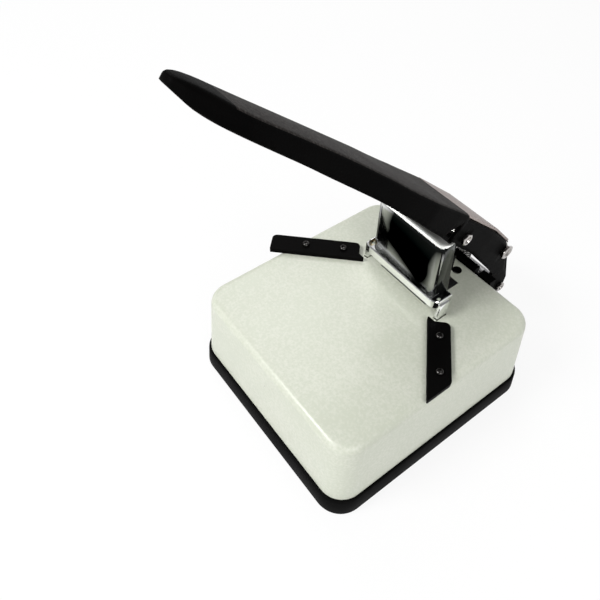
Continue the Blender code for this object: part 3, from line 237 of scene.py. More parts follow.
def coat(
    name, colour, patch_colour, edge_colour, roughness, grain_scale, bump, patch=0.5, edge=0.5,
    edge_width=0.0006, speck=0.0, speck_colour=(0.05, 0.05, 0.05), level=0.5, mottle=0.0,
):
    """A sprayed or moulded coat: two mixed colours, rubbed edges, specks, uneven gloss and a fine bump."""
    material = bpy.data.materials.new(name)
    material.use_nodes = True
    tree = material.node_tree
    shader = tree.nodes["Principled BSDF"]
    shader.inputs["Specular IOR Level"].default_value = level
    grain = node(tree, "ShaderNodeGroup", node_tree=GRAIN)
    grain.inputs["Scale"].default_value = grain_scale
    edges = node(tree, "ShaderNodeGroup", node_tree=EDGES)
    edges.inputs["Width"].default_value = edge_width
    edges.inputs["Amount"].default_value = edge
    share = node(tree, "ShaderNodeMapRange", {"From Min": 0.35, "From Max": 0.65, "To Max": patch})
    fine_range = {"From Min": 0.35, "From Max": 0.65, "To Min": -mottle / 2, "To Max": mottle / 2}
    fine = node(tree, "ShaderNodeMapRange", fine_range)
    mottled = node(tree, "ShaderNodeMath", operation="ADD", use_clamp=True)
    base = node(tree, "ShaderNodeMix", data_type="RGBA")
    base.inputs["A"].default_value = (*colour, 1)
    base.inputs["B"].default_value = (*patch_colour, 1)
    specks = node(tree, "ShaderNodeMath", {1: speck}, operation="MULTIPLY")
    spotted = node(tree, "ShaderNodeMix", data_type="RGBA")
    spotted.inputs["B"].default_value = (*speck_colour, 1)
    worn = node(tree, "ShaderNodeMix", data_type="RGBA")
    worn.inputs["B"].default_value = (*edge_colour, 1)
    gloss = node(tree, "ShaderNodeMapRange", {"From Min": 0.3, "From Max": 0.7})
    gloss.inputs["To Min"].default_value = roughness - COAT_UNEVEN
    gloss.inputs["To Max"].default_value = roughness + COAT_UNEVEN
    relief = node(tree, "ShaderNodeBump", {"Strength": 1.0, "Distance": bump})
    link = tree.links.new
    link(grain.outputs["Patch"], share.inputs["Value"])
    link(share.outputs["Result"], mottled.inputs[0])
    link(grain.outputs["Grain"], fine.inputs["Value"])
    link(fine.outputs["Result"], mottled.inputs[1])
    link(mottled.outputs[0], base.inputs["Factor"])
    link(grain.outputs["Specks"], specks.inputs[0])
    link(specks.outputs[0], spotted.inputs["Factor"])
    link(base.outputs["Result"], spotted.inputs["A"])
    link(edges.outputs["Mask"], worn.inputs["Factor"])
    link(spotted.outputs["Result"], worn.inputs["A"])
    link(worn.outputs["Result"], shader.inputs["Base Color"])
    link(grain.outputs["Patch"], gloss.inputs["Value"])
    link(gloss.outputs["Result"], shader.inputs["Roughness"])
    link(grain.outputs["Grain"], relief.inputs["Height"])
    link(relief.outputs["Normal"], shader.inputs["Normal"])
    return material


# Black rubber for the base tray; the housing's spare bores take it too, as painted shade.
rubber = coat(
    "black_rubber", RUBBER_BLACK, RUBBER_PATCH, RUBBER_SCUFF, roughness=0.62, grain_scale=1400.0,
    bump=0.00005, level=0.03,
)
corner = BODY_CORNER + BASE_PROUD
ease = BASE_EDGE * BASE_EASE_SHARE
tray = [
    body_ring(BASE_RECESS, BASE_RIM, corner - BASE_RIM),
    body_ring(BASE_RECESS / 2, BASE_RIM - BASE_RECESS / 2, corner - BASE_RIM),
    body_ring(0.0, BASE_RIM - BASE_RECESS, corner - BASE_RIM + BASE_RECESS),
    body_ring(0.0, BASE_EDGE - BASE_PROUD, corner - BASE_EDGE),
    body_ring(ease, ease - BASE_PROUD, corner - ease),
    body_ring(BASE_EDGE, -BASE_PROUD, corner),
    body_ring(BASE_TOP - BASE_EDGE, -BASE_PROUD, corner),
    body_ring(BASE_TOP - ease, ease - BASE_PROUD, corner - ease),
    body_ring(BASE_TOP, BASE_EDGE - BASE_PROUD, corner - BASE_EDGE),
    body_ring(BASE_TOP, BASE_LIP_INSET, BODY_CORNER - BASE_LIP_INSET),
    body_ring(BASE_LIP_TOP, BASE_LIP_INSET, BODY_CORNER - BASE_LIP_INSET),
    body_ring(BASE_LIP_TOP, BASE_WELL_INSET, BODY_CORNER - BASE_WELL_INSET),
    body_ring(BASE_FLOOR, BASE_WELL_INSET, BODY_CORNER - BASE_WELL_INSET),
]
pads = []
for x in (-BODY_HALF + FOOT_PAD_INSET, BODY_HALF - FOOT_PAD_INSET):
    for y in (BODY_FRONT + FOOT_PAD_INSET, BODY_REAR - FOOT_PAD_INSET):
        pad = []
        for up, back in FOOT_PAD_SHARES:
            pad.append(disc_ring(x, y, BASE_RECESS * up, FOOT_PAD_RADIUS - BASE_RECESS * back))
        pads.append(pad)
base_tray = smooth(skin("base_tray", [tray, *pads]))
finish_in(base_tray, rubber)
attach(base_tray, "base")
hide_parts("base_cover")

# Body housing: a die-cast box in grey-green stoving enamel, open below. Its table is cut through
# for the die, the foot's two tabs and two spare holes, and its rear wall has the bracket's seat. The
# spare holes' bores take the black rubber as painted shade.
HOUSING_FOOT = 0.0143
HOUSING_EDGE = 0.004
HOUSING_EDGE_STEPS = 8
HOUSING_WALL = 0.004
HOUSING_TABLE = 0.005
HOUSING_GAP = 0.0003
HOUSING_BEVEL = 0.0003
SEAT_FRONT, SEAT_REAR, SEAT_FOOT = 0.0221, 0.040, 0.0207
BACKING_FRONT, BACKING_REAR, BACKING_FOOT, BACKING_MARGIN = 0.0176, 0.0216, 0.0204, 0.003
TAB_SLOT_ACROSS, TAB_SLOT_ALONG = (0.0282, 0.0312), (-0.0235, -0.0155)
SPARE_HOLE, SPARE_RADIUS = (0.0111, 0.0136), 0.003
UPRIGHT_TILT = 0.3
NEAR = 0.0001
OVERRUN = 0.002
LONG_OVERRUN = 0.01
ENAMEL_GREEN = (0.560, 0.588, 0.490)
ENAMEL_PATCH = (0.640, 0.656, 0.570)
ENAMEL_THIN = (0.70, 0.71, 0.63)
ENAMEL_SPECK = (0.16, 0.16, 0.13)


def solid_box(name, low, high):
    """A block between two corners, used as a cutter or as stock."""
    (x0, y0, z0), (x1, y1, z1) = low, high
    return skin(name, [[[(x0, y0, z), (x1, y0, z), (x1, y1, z), (x0, y1, z)] for z in (z0, z1)]])


def side_box(name, side, across, along, heights):
    """A block on one side of the middle, from its two distances across, two places along and two heights."""
    x_low, x_high = sorted((side * across[0], side * across[1]))
    return solid_box(name, (x_low, along[0], heights[0]), (x_high, along[1], heights[1]))


def solid_rod(name, start, end, radius, steps=32):
    """A round bar between two points, used as a cutter or as stock."""
    start, end = Vector(start), Vector(end)
    turn = (end - start).to_track_quat("Z", "Y").to_matrix()
    rings = []
    for place in (start, end):
        rings.append([place + turn @ Vector(point) for point in disc_ring(0, 0, 0, radius, steps)])
    return skin(name, [rings])


def settle(item):
    """Make the modifiers of a piece part of its mesh."""
    bpy.context.view_layer.update()
    graph = bpy.context.evaluated_depsgraph_get()
    mesh = bpy.data.meshes.new_from_object(item.evaluated_get(graph))
    item.modifiers.clear()
    item.data = mesh
    return item


def work(item, tools, operation="DIFFERENCE"):
    """Cut the tools out of a piece, or join them to it, for good."""
    for tool in tools:
        step = item.modifiers.new("tool", "BOOLEAN")
        step.operation = operation
        step.solver = "EXACT"
        step.object = tool
    settle(item)
    for tool in tools:
        bpy.data.objects.remove(tool, do_unlink=True)
    return item


def soften(item, width, segments=2, angle=40):
    """Round the sharp edges of a piece a little, as real edges are, and keep its faces flat."""
    weld = item.modifiers.new("weld", "WELD")
    weld.merge_threshold = 0.00001
    bevel = item.modifiers.new("edges", "BEVEL")
    bevel.width = width
    bevel.segments = segments
    bevel.limit_method = "ANGLE"
    bevel.angle_limit = math.radians(angle)
    bevel.use_clamp_overlap = True
    bevel.harden_normals = True
    return item


enamel = coat(
    "grey_green_enamel", ENAMEL_GREEN, ENAMEL_PATCH, ENAMEL_THIN, roughness=0.36, grain_scale=700.0,
    bump=0.00003, patch=0.6, edge=0.35, edge_width=0.0008, speck=1.0, speck_colour=ENAMEL_SPECK, mottle=1.0,
)
rings = [body_ring(HOUSING_FOOT, 0.0, BODY_CORNER)]
for i in range(HOUSING_EDGE_STEPS + 1):
    turn = math.pi / 2 * i / HOUSING_EDGE_STEPS
    inset = HOUSING_EDGE * (1 - math.cos(turn))
    rings.append(body_ring(TABLE_Z - HOUSING_EDGE * (1 - math.sin(turn)), inset, BODY_CORNER - inset))
housing = skin("enamelled_housing", [rings])
ceiling = TABLE_Z - HOUSING_TABLE
inner_corner = BODY_CORNER - HOUSING_WALL
hollow = [body_ring(z, HOUSING_WALL, inner_corner) for z in (HOUSING_FOOT - OVERRUN, ceiling)]
work(housing, [skin("hollow", [hollow])])
seat_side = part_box("rear_bracket")[1].x + HOUSING_GAP
backing_side = seat_side + BACKING_MARGIN
backing_low = (-backing_side, BACKING_FRONT, BACKING_FOOT)
work(housing, [solid_box("backing", backing_low, (backing_side, BACKING_REAR, ceiling + OVERRUN))], "UNION")
die_low, die_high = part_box("die_plate")
cut = (ceiling - LONG_OVERRUN, TABLE_Z + LONG_OVERRUN)
cutters = [
    solid_box("seat", (-seat_side, SEAT_FRONT, SEAT_FOOT), (seat_side, SEAT_REAR, cut[1])),
    solid_box(
        "die_opening",
        (die_low.x - HOUSING_GAP, die_low.y - HOUSING_GAP, cut[0]),
        (die_high.x + HOUSING_GAP, die_high.y + HOUSING_GAP, cut[1]),
    ),
]
for side in (-1, 1):
    cutters.append(side_box("tab_slot", side, TAB_SLOT_ACROSS, TAB_SLOT_ALONG, cut))
    x, y = side * SPARE_HOLE[0], SPARE_HOLE[1]
    cutters.append(solid_rod("spare_hole", (x, y, cut[0]), (x, y, cut[1]), SPARE_RADIUS))
work(housing, cutters)
soften(housing, HOUSING_BEVEL)
smooth(housing, 35)
finish_in(housing, enamel, rubber)
# The walls of the spare holes take the black rubber as painted shade.
for face in housing.data.polygons:
    from_hole = math.hypot(abs(face.center.x) - SPARE_HOLE[0], face.center.y - SPARE_HOLE[1])
    painted_shade_bore = from_hole < SPARE_RADIUS + NEAR and abs(face.normal.z) < UPRIGHT_TILT
    face.material_index = 1 if painted_shade_bore else 0
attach(housing, "base")
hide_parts("body_housing")

# Die plate, chassis plate and guide posts: ground tool steel under and in the table. The die is
# flush with the enamel, and the chassis plate below it holds the two posts that the ram runs on.
GROUND_STEEL = (0.50, 0.50, 0.51)
STEEL_STAIN = (0.33, 0.31, 0.29)
STEEL_BEVEL = 0.0002


def fine_scratches():
    """Fine marks of grinding, or of wiping, that run along one axis and are broken up."""
    group, given, found = effect("fine_scratches", (("Scale", 60.0), ("Stretch", 60.0)), ("Height", "Marks"))
    place = node(group, "ShaderNodeTexCoord")
    pull = node(group, "ShaderNodeCombineXYZ", {"Y": 1.0})
    mapped = node(group, "ShaderNodeVectorMath", operation="MULTIPLY")
    lines = node(group, "ShaderNodeTexNoise", {"Detail": 4.0, "Roughness": 0.7})
    marks = node(group, "ShaderNodeMapRange", {"From Min": 0.60, "From Max": 0.75})
    link = group.links.new
    link(given.outputs["Stretch"], pull.inputs["X"])
    link(given.outputs["Stretch"], pull.inputs["Z"])
    link(place.outputs["Object"], mapped.inputs[0])
    link(pull.outputs["Vector"], mapped.inputs[1])
    link(mapped.outputs["Vector"], lines.inputs["Vector"])
    link(given.outputs["Scale"], lines.inputs["Scale"])
    link(lines.outputs["Fac"], marks.inputs["Value"])
    link(lines.outputs["Fac"], found.inputs["Height"])
    link(marks.outputs["Result"], found.inputs["Marks"])
    return group


SCRATCHES = fine_scratches()


def bare_metal(
    name, colour, stain, roughness, scratch_scale, scratch_bump, stain_share=0.3, wave=0.0, wave_scale=60.0,
    start=0.45, end=0.75, cloud_scale=30.0, cloud_detail=4.0, cloud_shift=0.0,
):
    """A ground, plated or polished metal: stains, uneven gloss, fine marks and a slight waviness."""
    material = bpy.data.materials.new(name)
    material.use_nodes = True
    tree = material.node_tree
    shader = tree.nodes["Principled BSDF"]
    shader.inputs["Metallic"].default_value = 1.0
    grain = node(tree, "ShaderNodeGroup", node_tree=GRAIN)
    grain.inputs["Scale"].default_value = wave_scale
    grain.inputs["Patch Scale"].default_value = cloud_scale
    grain.inputs["Patch Detail"].default_value = cloud_detail
    grain.inputs["Patch Shift"].default_value = cloud_shift
    marks = node(tree, "ShaderNodeGroup", node_tree=SCRATCHES)
    marks.inputs["Scale"].default_value = scratch_scale
    share = node(tree, "ShaderNodeMapRange", {"From Min": start, "From Max": end, "To Max": stain_share})
    base = node(tree, "ShaderNodeMix", data_type="RGBA")
    base.inputs["A"].default_value = (*colour, 1)
    base.inputs["B"].default_value = (*stain, 1)
    smear = node(tree, "ShaderNodeMapRange", {"From Min": 0.35, "From Max": 0.75, "To Max": 0.10})
    rough = node(tree, "ShaderNodeMath", {1: 0.06}, operation="MULTIPLY_ADD")
    total = node(tree, "ShaderNodeMath", {1: roughness}, operation="ADD")
    ripple = node(tree, "ShaderNodeBump", {"Strength": 1.0, "Distance": wave})
    relief = node(tree, "ShaderNodeBump", {"Strength": 1.0, "Distance": scratch_bump})
    link = tree.links.new
    link(grain.outputs["Patch"], share.inputs["Value"])
    link(share.outputs["Result"], base.inputs["Factor"])
    link(base.outputs["Result"], shader.inputs["Base Color"])
    link(grain.outputs["Patch"], smear.inputs["Value"])
    link(marks.outputs["Marks"], rough.inputs[0])
    link(smear.outputs["Result"], rough.inputs[2])
    link(rough.outputs[0], total.inputs[0])
    link(total.outputs[0], shader.inputs["Roughness"])
    link(grain.outputs["Grain"], ripple.inputs["Height"])
    link(marks.outputs["Height"], relief.inputs["Height"])
    link(ripple.outputs["Normal"], relief.inputs["Normal"])
    link(relief.outputs["Normal"], shader.inputs["Normal"])
    return material


def dress(name, material, bevel=0.0, segments=2, angle=40):
    """A solid of the frame in its own shape: its material, and its edges broken where a width is given."""
    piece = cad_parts[name]
    piece.material_slots[0].material = material
    if bevel:
        soften(piece, bevel, segments, angle)
    return piece


ground_steel = bare_metal(
    "ground_steel", GROUND_STEEL, STEEL_STAIN, roughness=0.26, scratch_scale=45.0, scratch_bump=0.00002
)
for name in ("die_plate", "chassis_plate", "guide_post_left", "guide_post_right"):
    piece = dress(name, ground_steel, STEEL_BEVEL)

# Guides: two black painted steel bars on the table, square to each other, that the work is laid
# against. Their corners are rounded off and their edges are broken, and two screws hold each.
COAT_BLACK = (0.0016, 0.0015, 0.0015)
COAT_PATCH = (0.0034, 0.0032, 0.0031)
COAT_WORN = (0.020, 0.019, 0.018)
GUIDE_BEVEL = 0.0004
guide_black = coat(
    "guide_black_paint", COAT_BLACK, COAT_PATCH, COAT_WORN, roughness=0.48, grain_scale=1600.0, bump=0.00002,
    edge_width=0.0004, level=0.025,
)
for name in ("guide_left", "guide_right"):
    piece = dress(name, guide_black, GUIDE_BEVEL, 3)

# Round-headed socket screws: blackened on the guides, bright elsewhere. Each has a domed head
# with a six-sided drive hole, turned and broached, and its shank is out of sight.
SCREW_STEPS = 36
SCREW_HEIGHT = 0.0016
SCREW_SHANK = 0.0015
SCREW_POINT = 0.00002
SCREW_NECK = 0.0001
SCREW_SOCKET = 0.0011
SMALL_HEAD, LARGE_HEAD = 0.00215, 0.0027
POINT_SHARES = ((0.8, 0.0), (1.0, 0.2))
DOME_SHARES = ((0.97, 0.0), (1.0, 0.10), (1.0, 0.35), (0.93, 0.62), (0.80, 0.84), (0.65, 0.96), (0.56, 1.0))
DRIVE_SHARES = ((1.08, 1.0), (1.0, 0.95), (1.0, 0.40), (0.05, 0.28))
UPWARD, REARWARD = (0, 0, 1), (0, 1, 0)
BLACKENED = (0.06, 0.058, 0.056)
BLACKENED_STAIN = (0.03, 0.028, 0.026)
BRIGHT_ZINC = (0.72, 0.70, 0.67)
BRIGHT_ZINC_STAIN = (0.45, 0.42, 0.38)


def six_sided(flat, angle):
    """How far a six-sided form reaches at an angle, from half its width across the flats."""
    return flat / math.cos((angle + math.pi / 6) % (math.pi / 3) - math.pi / 6)


def socket_screw(name, seat, axis, head_radius, length):
    """A domed head with a six-sided hole, its seat at a place and its head along an axis."""
    profile = [(SCREW_POINT, -length)]
    profile += [(SCREW_SHANK * wide, SCREW_SHANK * high - length) for wide, high in POINT_SHARES]
    profile += [(SCREW_SHANK, -SCREW_NECK)]
    profile += [(head_radius * wide, SCREW_HEIGHT * high) for wide, high in DOME_SHARES]
    rings = [disc_ring(0.0, 0.0, height, radius, SCREW_STEPS) for radius, height in profile]
    for wide, high in DRIVE_SHARES:
        ring = []
        for i in range(SCREW_STEPS):
            angle = 2 * math.pi * i / SCREW_STEPS
            radius = six_sided(SCREW_SOCKET * wide, angle)
            ring.append((radius * math.cos(angle), radius * math.sin(angle), SCREW_HEIGHT * high))
        rings.append(ring)
    place, turn = Vector(seat), Vector(axis).to_track_quat("Z", "Y").to_matrix()
    rings = [[place + turn @ Vector(point) for point in ring] for ring in rings]
    return smooth(skin(name, [rings]), 40)


def seat_of(name, axis, head_height):
    """Where a screw's head is seated and how long its shank is, from its box, for an axis out of its head."""
    low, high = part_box(name)
    middle = (low + high) / 2
    reach = Vector([abs(part) for part in axis])
    along = (high - low).dot(reach) / 2
    return middle + Vector(axis) * (along - head_height), (high - low).dot(reach) - head_height


blackened = bare_metal(
    "blackened_screw", BLACKENED, BLACKENED_STAIN, roughness=0.16, scratch_scale=120.0, scratch_bump=0.00001
)
bright_zinc = bare_metal(
    "bright_zinc", BRIGHT_ZINC, BRIGHT_ZINC_STAIN, roughness=0.17, scratch_scale=120.0, scratch_bump=0.00001,
    stain_share=0.35,
)
screws = []
for word in ("left_1", "left_2", "right_1", "right_2"):
    screws.append(("guide_screw_" + word, UPWARD, SMALL_HEAD, "base", blackened))
for word in ("left", "right"):
    screws.append(("guard_screw_" + word, UPWARD, SMALL_HEAD, "presser", bright_zinc))
for word in ("low_left", "low_right", "high_left", "high_right"):
    screws.append(("bracket_screw_" + word, REARWARD, LARGE_HEAD, "base", bright_zinc))
for name, axis, head, body, metal in screws:
    seat, length = seat_of(name, axis, SCREW_HEIGHT)
    screw = socket_screw(name + "_domed", seat, axis, head, length)
    finish_in(screw, metal)
    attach(screw, body)
    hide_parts(name)
for name in (
    "die_screw_left", "die_screw_right", "chassis_screw_front_left", "chassis_screw_front_right",
    "chassis_screw_rear_left", "chassis_screw_rear_right", "punch_screw_left", "punch_screw_right",
    "presser_bolt_left", "presser_bolt_right",
):
    piece = dress(name, bright_zinc)

# Presser foot: a thick plate of chromium-plated steel with round front corners, and with sunk ends
# inside an upturned rim. Two sprung bolts hang it under the ram, and its tabs run in the table. Its
# left sunk end is stained brown, and its right one is near black, painted shade and dark reflection.
CHROME = (0.93, 0.94, 0.93)
CHROME_DULL = (0.68, 0.69, 0.68)
STAINED = (0.46, 0.40, 0.27)
STAINED_DARK = (0.24, 0.19, 0.11)
PAINTED_SHADE_DARK = (0.030, 0.032, 0.032)
PAINTED_SHADE_PALE = (0.20, 0.21, 0.20)
FOOT_LOW, FOOT_TOP = 0.071, 0.0765
FOOT_HALF, FOOT_FRONT, FOOT_REAR = 0.0295, -0.026, -0.0133
FOOT_CORNER, FOOT_CORNER_STEPS = 0.0045, 8
FOOT_EDGE, FOOT_RIM, FOOT_BEVEL = 0.0004, 0.0010, 0.0002
TRAY_FLOOR, TRAY_START, TRAY_REAR, TRAY_EASE = 0.0753, 0.0247, -0.0143, 0.0004
TONGUE_Y, TONGUE_RADIUS, TONGUE_STEPS = -0.01414, 0.0092, 24
TAB_ACROSS, TAB_ALONG, TAB_HEIGHTS = (0.0287, 0.0307), (-0.023, -0.016), (0.052, 0.0737)
FOOT_HOLE, FOOT_HOLE_RADIUS = (0.0268, -0.021), 0.0012
PRESS_BOLT, PRESS_TAP = (0.0143, -0.016), 0.0021
GUARD_SCREW, GUARD_TAP = (0.0214, -0.018), 0.0018
TAP_FLOOR, TAP_STEPS = 0.0725, 24
SHORT_OVERRUN = 0.001


def foot_ring(z, inset=0.0):
    """The foot in plan at a height, set in by an amount: round front corners and a round tongue behind."""
    half, front, rear = FOOT_HALF - inset, FOOT_FRONT + inset, FOOT_REAR - inset
    corner, tongue = FOOT_CORNER - inset, TONGUE_RADIUS - inset
    ring = arc(corner - half, front + corner, z, corner, 180, FOOT_CORNER_STEPS)
    ring += arc(half - corner, front + corner, z, corner, 270, FOOT_CORNER_STEPS)
    ring.append((half, rear, z))
    lift = math.asin((rear - TONGUE_Y) / tongue)
    for i in range(TONGUE_STEPS + 1):
        angle = lift + (math.pi - 2 * lift) * i / TONGUE_STEPS
        ring.append((tongue * math.cos(angle), TONGUE_Y + tongue * math.sin(angle), z))
    ring.append((-half, rear, z))
    return ring


def tray_ring(z, side, inset):
    """The sunk floor at one end of the foot, inside its upturned rim."""
    half, front, corner = FOOT_HALF - inset, FOOT_FRONT + inset, FOOT_CORNER - inset
    ring = [(TRAY_START, front, z), *arc(half - corner, front + corner, z, corner, 270, FOOT_CORNER_STEPS)]
    ring += [(half, TRAY_REAR, z), (TRAY_START, TRAY_REAR, z)]
    return [(side * x, y, z) for x, y, z in ring]


chrome = bare_metal(
    "chromium_plate", CHROME, CHROME_DULL, roughness=0.045, scratch_scale=25.0, scratch_bump=0.000004,
    stain_share=0.5, wave=0.00012, wave_scale=28.0,
)
stained = bare_metal(
    "stained_plate", STAINED, STAINED_DARK, roughness=0.30, scratch_scale=60.0, scratch_bump=0.00001,
    stain_share=0.8,
)
# A near-black chromium: painted shade and dark reflection, for the foot's right sunk end and the guard's
# cheeks.
painted_shade_chrome = bare_metal(
    "painted_shade_chromium", PAINTED_SHADE_DARK, PAINTED_SHADE_PALE, roughness=0.12, scratch_scale=60.0, scratch_bump=0.000006,
    stain_share=0.6,
)
rings = [foot_ring(FOOT_LOW, FOOT_EDGE), foot_ring(FOOT_LOW + FOOT_EDGE)]
rings += [foot_ring(FOOT_TOP - FOOT_EDGE), foot_ring(FOOT_TOP, FOOT_EDGE)]
foot = skin("pressed_foot", [rings])
over = FOOT_TOP + SHORT_OVERRUN
tabs, tools = [], []
for side in (-1, 1):
    tabs.append(side_box("tab", side, TAB_ACROSS, TAB_ALONG, TAB_HEIGHTS))
    x, y = side * FOOT_HOLE[0], FOOT_HOLE[1]
    tools.append(solid_rod("hole", (x, y, FOOT_LOW - SHORT_OVERRUN), (x, y, over), FOOT_HOLE_RADIUS))
    for (x, y), radius in ((PRESS_BOLT, PRESS_TAP), (GUARD_SCREW, GUARD_TAP)):
        tools.append(solid_rod("tap", (side * x, y, TAP_FLOOR), (side * x, y, over), radius, TAP_STEPS))
    rings = [tray_ring(TRAY_FLOOR, side, FOOT_RIM + TRAY_EASE)]
    rings += [tray_ring(z, side, FOOT_RIM) for z in (TRAY_FLOOR + TRAY_EASE, over)]
    tools.append(skin("tray", [rings]))
work(foot, tabs, "UNION")
work(foot, tools)
soften(foot, FOOT_BEVEL, 2, 50)
settle(foot)
smooth(foot, 35)
finish_in(foot, chrome, stained, painted_shade_chrome)
# The left sunk end takes the stained plate, and the right one the near-black chromium as painted shade.
for face in foot.data.polygons:
    middle = face.center
    sunk = TRAY_FLOOR - 2 * NEAR < middle.z < FOOT_TOP - 3 * NEAR and abs(middle.x) > TRAY_START
    inside = abs(middle.x) < FOOT_HALF - FOOT_RIM + NEAR and middle.y > FOOT_FRONT + FOOT_RIM - NEAR
    if sunk and inside and middle.y < TRAY_REAR + NEAR:
        face.material_index = 1 if middle.x < 0 else 2
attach(foot, "presser")
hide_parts("presser_foot")

# Guard: a folded sheet of chromium-plated steel over the foot, with round front corners, cheeks
# that taper upwards and a flange at its top. Two lugs inside it are screwed down to the foot. Its
# front's colour is clouded dark and pale, a painted reflection, and its cheeks are near black,
# painted shade and dark reflection.
PAINTED_REFLECTION_DARK = (0.010, 0.011, 0.011)
PAINTED_REFLECTION_PALE = (0.92, 0.93, 0.92)
GUARD_SPECULAR_TINT = (0.25, 0.25, 0.25)
SATIN = (0.95, 0.96, 0.93)
SATIN_DULL = (0.85, 0.86, 0.83)
GUARD_LOW, GUARD_TOP = 0.0768, 0.114
GUARD_FRONT, GUARD_REAR, GUARD_TOP_REAR = -0.025, -0.0133, -0.0172
GUARD_HALF, GUARD_FLARE, GUARD_CORNER, GUARD_CORNER_STEPS = 0.0245, 0.002, 0.0045, 10
GUARD_SHEET, GUARD_BEND, GUARD_BEND_STEPS, GUARD_BEVEL = 0.0015, 0.0035, 8, 0.00025
FLANGE_REAR, FLANGE_CUT, CHEEK_CUT = -0.0195, 0.004, 0.05
LUG_ACROSS, LUG_ALONG = (0.0189, 0.0242), (-0.0205, -0.0155)
FLANGE_TILT, CHEEK_TILT = 0.5, 0.92


def guard_ring(z, inset, front_inset, rear):
    """The guard in plan at a height: round front corners, and cheeks that open a little to the rear."""
    half, front, corner = GUARD_HALF - inset, GUARD_FRONT + front_inset, GUARD_CORNER - inset
    open_half = half + GUARD_FLARE * (rear - front - corner) / (GUARD_REAR - GUARD_FRONT)
    ring = [(-open_half, rear, z), *arc(corner - half, front + corner, z, corner, 180, GUARD_CORNER_STEPS)]
    ring += arc(half - corner, front + corner, z, corner, 270, GUARD_CORNER_STEPS)
    return [*ring, (open_half, rear, z)]


def guard_shell(inset, low, rear):
    """The guard's outer or inner skin: straight up from its foot, and bent over at its top."""
    rings = [guard_ring(low, inset, inset, rear)]
    bend = GUARD_BEND - inset
    for i in range(GUARD_BEND_STEPS + 1):
        angle = math.pi / 2 * i / GUARD_BEND_STEPS
        height = GUARD_TOP - GUARD_BEND + bend * math.sin(angle)
        rings.append(guard_ring(height, inset, inset + bend * (1 - math.cos(angle)), rear))
    return rings


# The chrome's colour runs in broad dark and pale clouds: a painted reflection.
painted_reflection_chrome = bare_metal(
    "painted_reflection_chromium", PAINTED_REFLECTION_DARK, PAINTED_REFLECTION_PALE, roughness=0.05, scratch_scale=25.0, scratch_bump=0.000004,
    stain_share=1.0, wave=0.00012, wave_scale=28.0, start=0.46, end=0.66,
    cloud_scale=34.0, cloud_detail=0.8, cloud_shift=0.53,
)
painted_reflection_chrome.node_tree.nodes["Principled BSDF"].inputs["Specular Tint"].default_value = (*GUARD_SPECULAR_TINT, 1)
satin = bare_metal(
    "satin_chromium", SATIN, SATIN_DULL, roughness=0.46, scratch_scale=60.0, scratch_bump=0.000006,
    stain_share=0.5,
)
guard = skin("folded_guard", [guard_shell(0.0, GUARD_LOW, GUARD_REAR)])
guard_inside = guard_shell(GUARD_SHEET, GUARD_LOW - SHORT_OVERRUN, GUARD_REAR + SHORT_OVERRUN)
inner, behind, above = GUARD_HALF - GUARD_SHEET, GUARD_REAR + FLANGE_CUT, GUARD_TOP + OVERRUN
taper = [(GUARD_TOP_REAR, GUARD_TOP), (GUARD_REAR, GUARD_LOW), (behind, GUARD_LOW)]
taper += [(behind, above), (GUARD_TOP_REAR, above)]
tools = [
    skin("guard_inside", [guard_inside]),
    solid_box("behind_flange", (-inner, FLANGE_REAR, GUARD_TOP - FLANGE_CUT), (inner, behind, above)),
    skin("taper", [[[(x, y, z) for y, z in taper] for x in (-CHEEK_CUT, CHEEK_CUT)]]),
]
work(guard, tools)
lug_top = GUARD_LOW + GUARD_SHEET
lugs, tools = [], []
for side in (-1, 1):
    lugs.append(side_box("lug", side, LUG_ACROSS, LUG_ALONG, (GUARD_LOW, lug_top)))
    x, y = side * GUARD_SCREW[0], GUARD_SCREW[1]
    start, end = (x, y, GUARD_LOW - SHORT_OVERRUN), (x, y, lug_top + SHORT_OVERRUN)
    tools.append(solid_rod("hole", start, end, GUARD_TAP, TAP_STEPS))
work(guard, lugs, "UNION")
work(guard, tools)
soften(guard, GUARD_BEVEL, 2, 50)
settle(guard)
smooth(guard, 40)
finish_in(guard, painted_reflection_chrome, satin, painted_shade_chrome)
# Faces turned up take the satin chromium, the cheeks the near-black chromium as painted shade and dark
# reflection, and the rest the chromium with painted reflection.
for face in guard.data.polygons:
    face.material_index = 1 if face.normal.z > FLANGE_TILT else 2 if abs(face.normal.x) > CHEEK_TILT else 0
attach(guard, "presser")
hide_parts("guard_shield")

# Ram and punch: the ram is a black painted steel block on two posts, and its tongue has the slot
# for the link bolt. The punch under it is ground steel, held by two sunk screws.
RAM_BEVEL = 0.0005
PUNCH_BEVEL = 0.00015
ram_black = coat(
    "ram_black_paint", COAT_BLACK, COAT_PATCH, COAT_WORN, roughness=0.45, grain_scale=1500.0, bump=0.00002,
    edge=0.4, edge_width=0.0004, level=0.025,
)
ram = dress("ram", ram_black, RAM_BEVEL)
punch = dress("punch", ground_steel, PUNCH_BEVEL, 1)

# Springs: round spring-steel wire. The long one behind the ram lifts the lever again, and the two
# short ones in the ram's pockets press the foot down. All three shorten as the lever comes down.
WIRE_SIDES = 10
CURL_STEPS = 28
GROUND_CURLS = 1.5
CLOSE_SHARE = 0.35
LIFT_Y, LIFT_RADIUS, LIFT_WIRE, LIFT_CURLS, LIFT_KEEP = 0.0331, 0.0045, 0.0006, 22, 0.925
PRESS_RADIUS, PRESS_WIRE, PRESS_CURLS, PRESS_KEEP = 0.0027, 0.00035, 7, 0.84
SPRING_STEEL = (0.62, 0.61, 0.60)
SPRING_STAIN = (0.30, 0.27, 0.24)


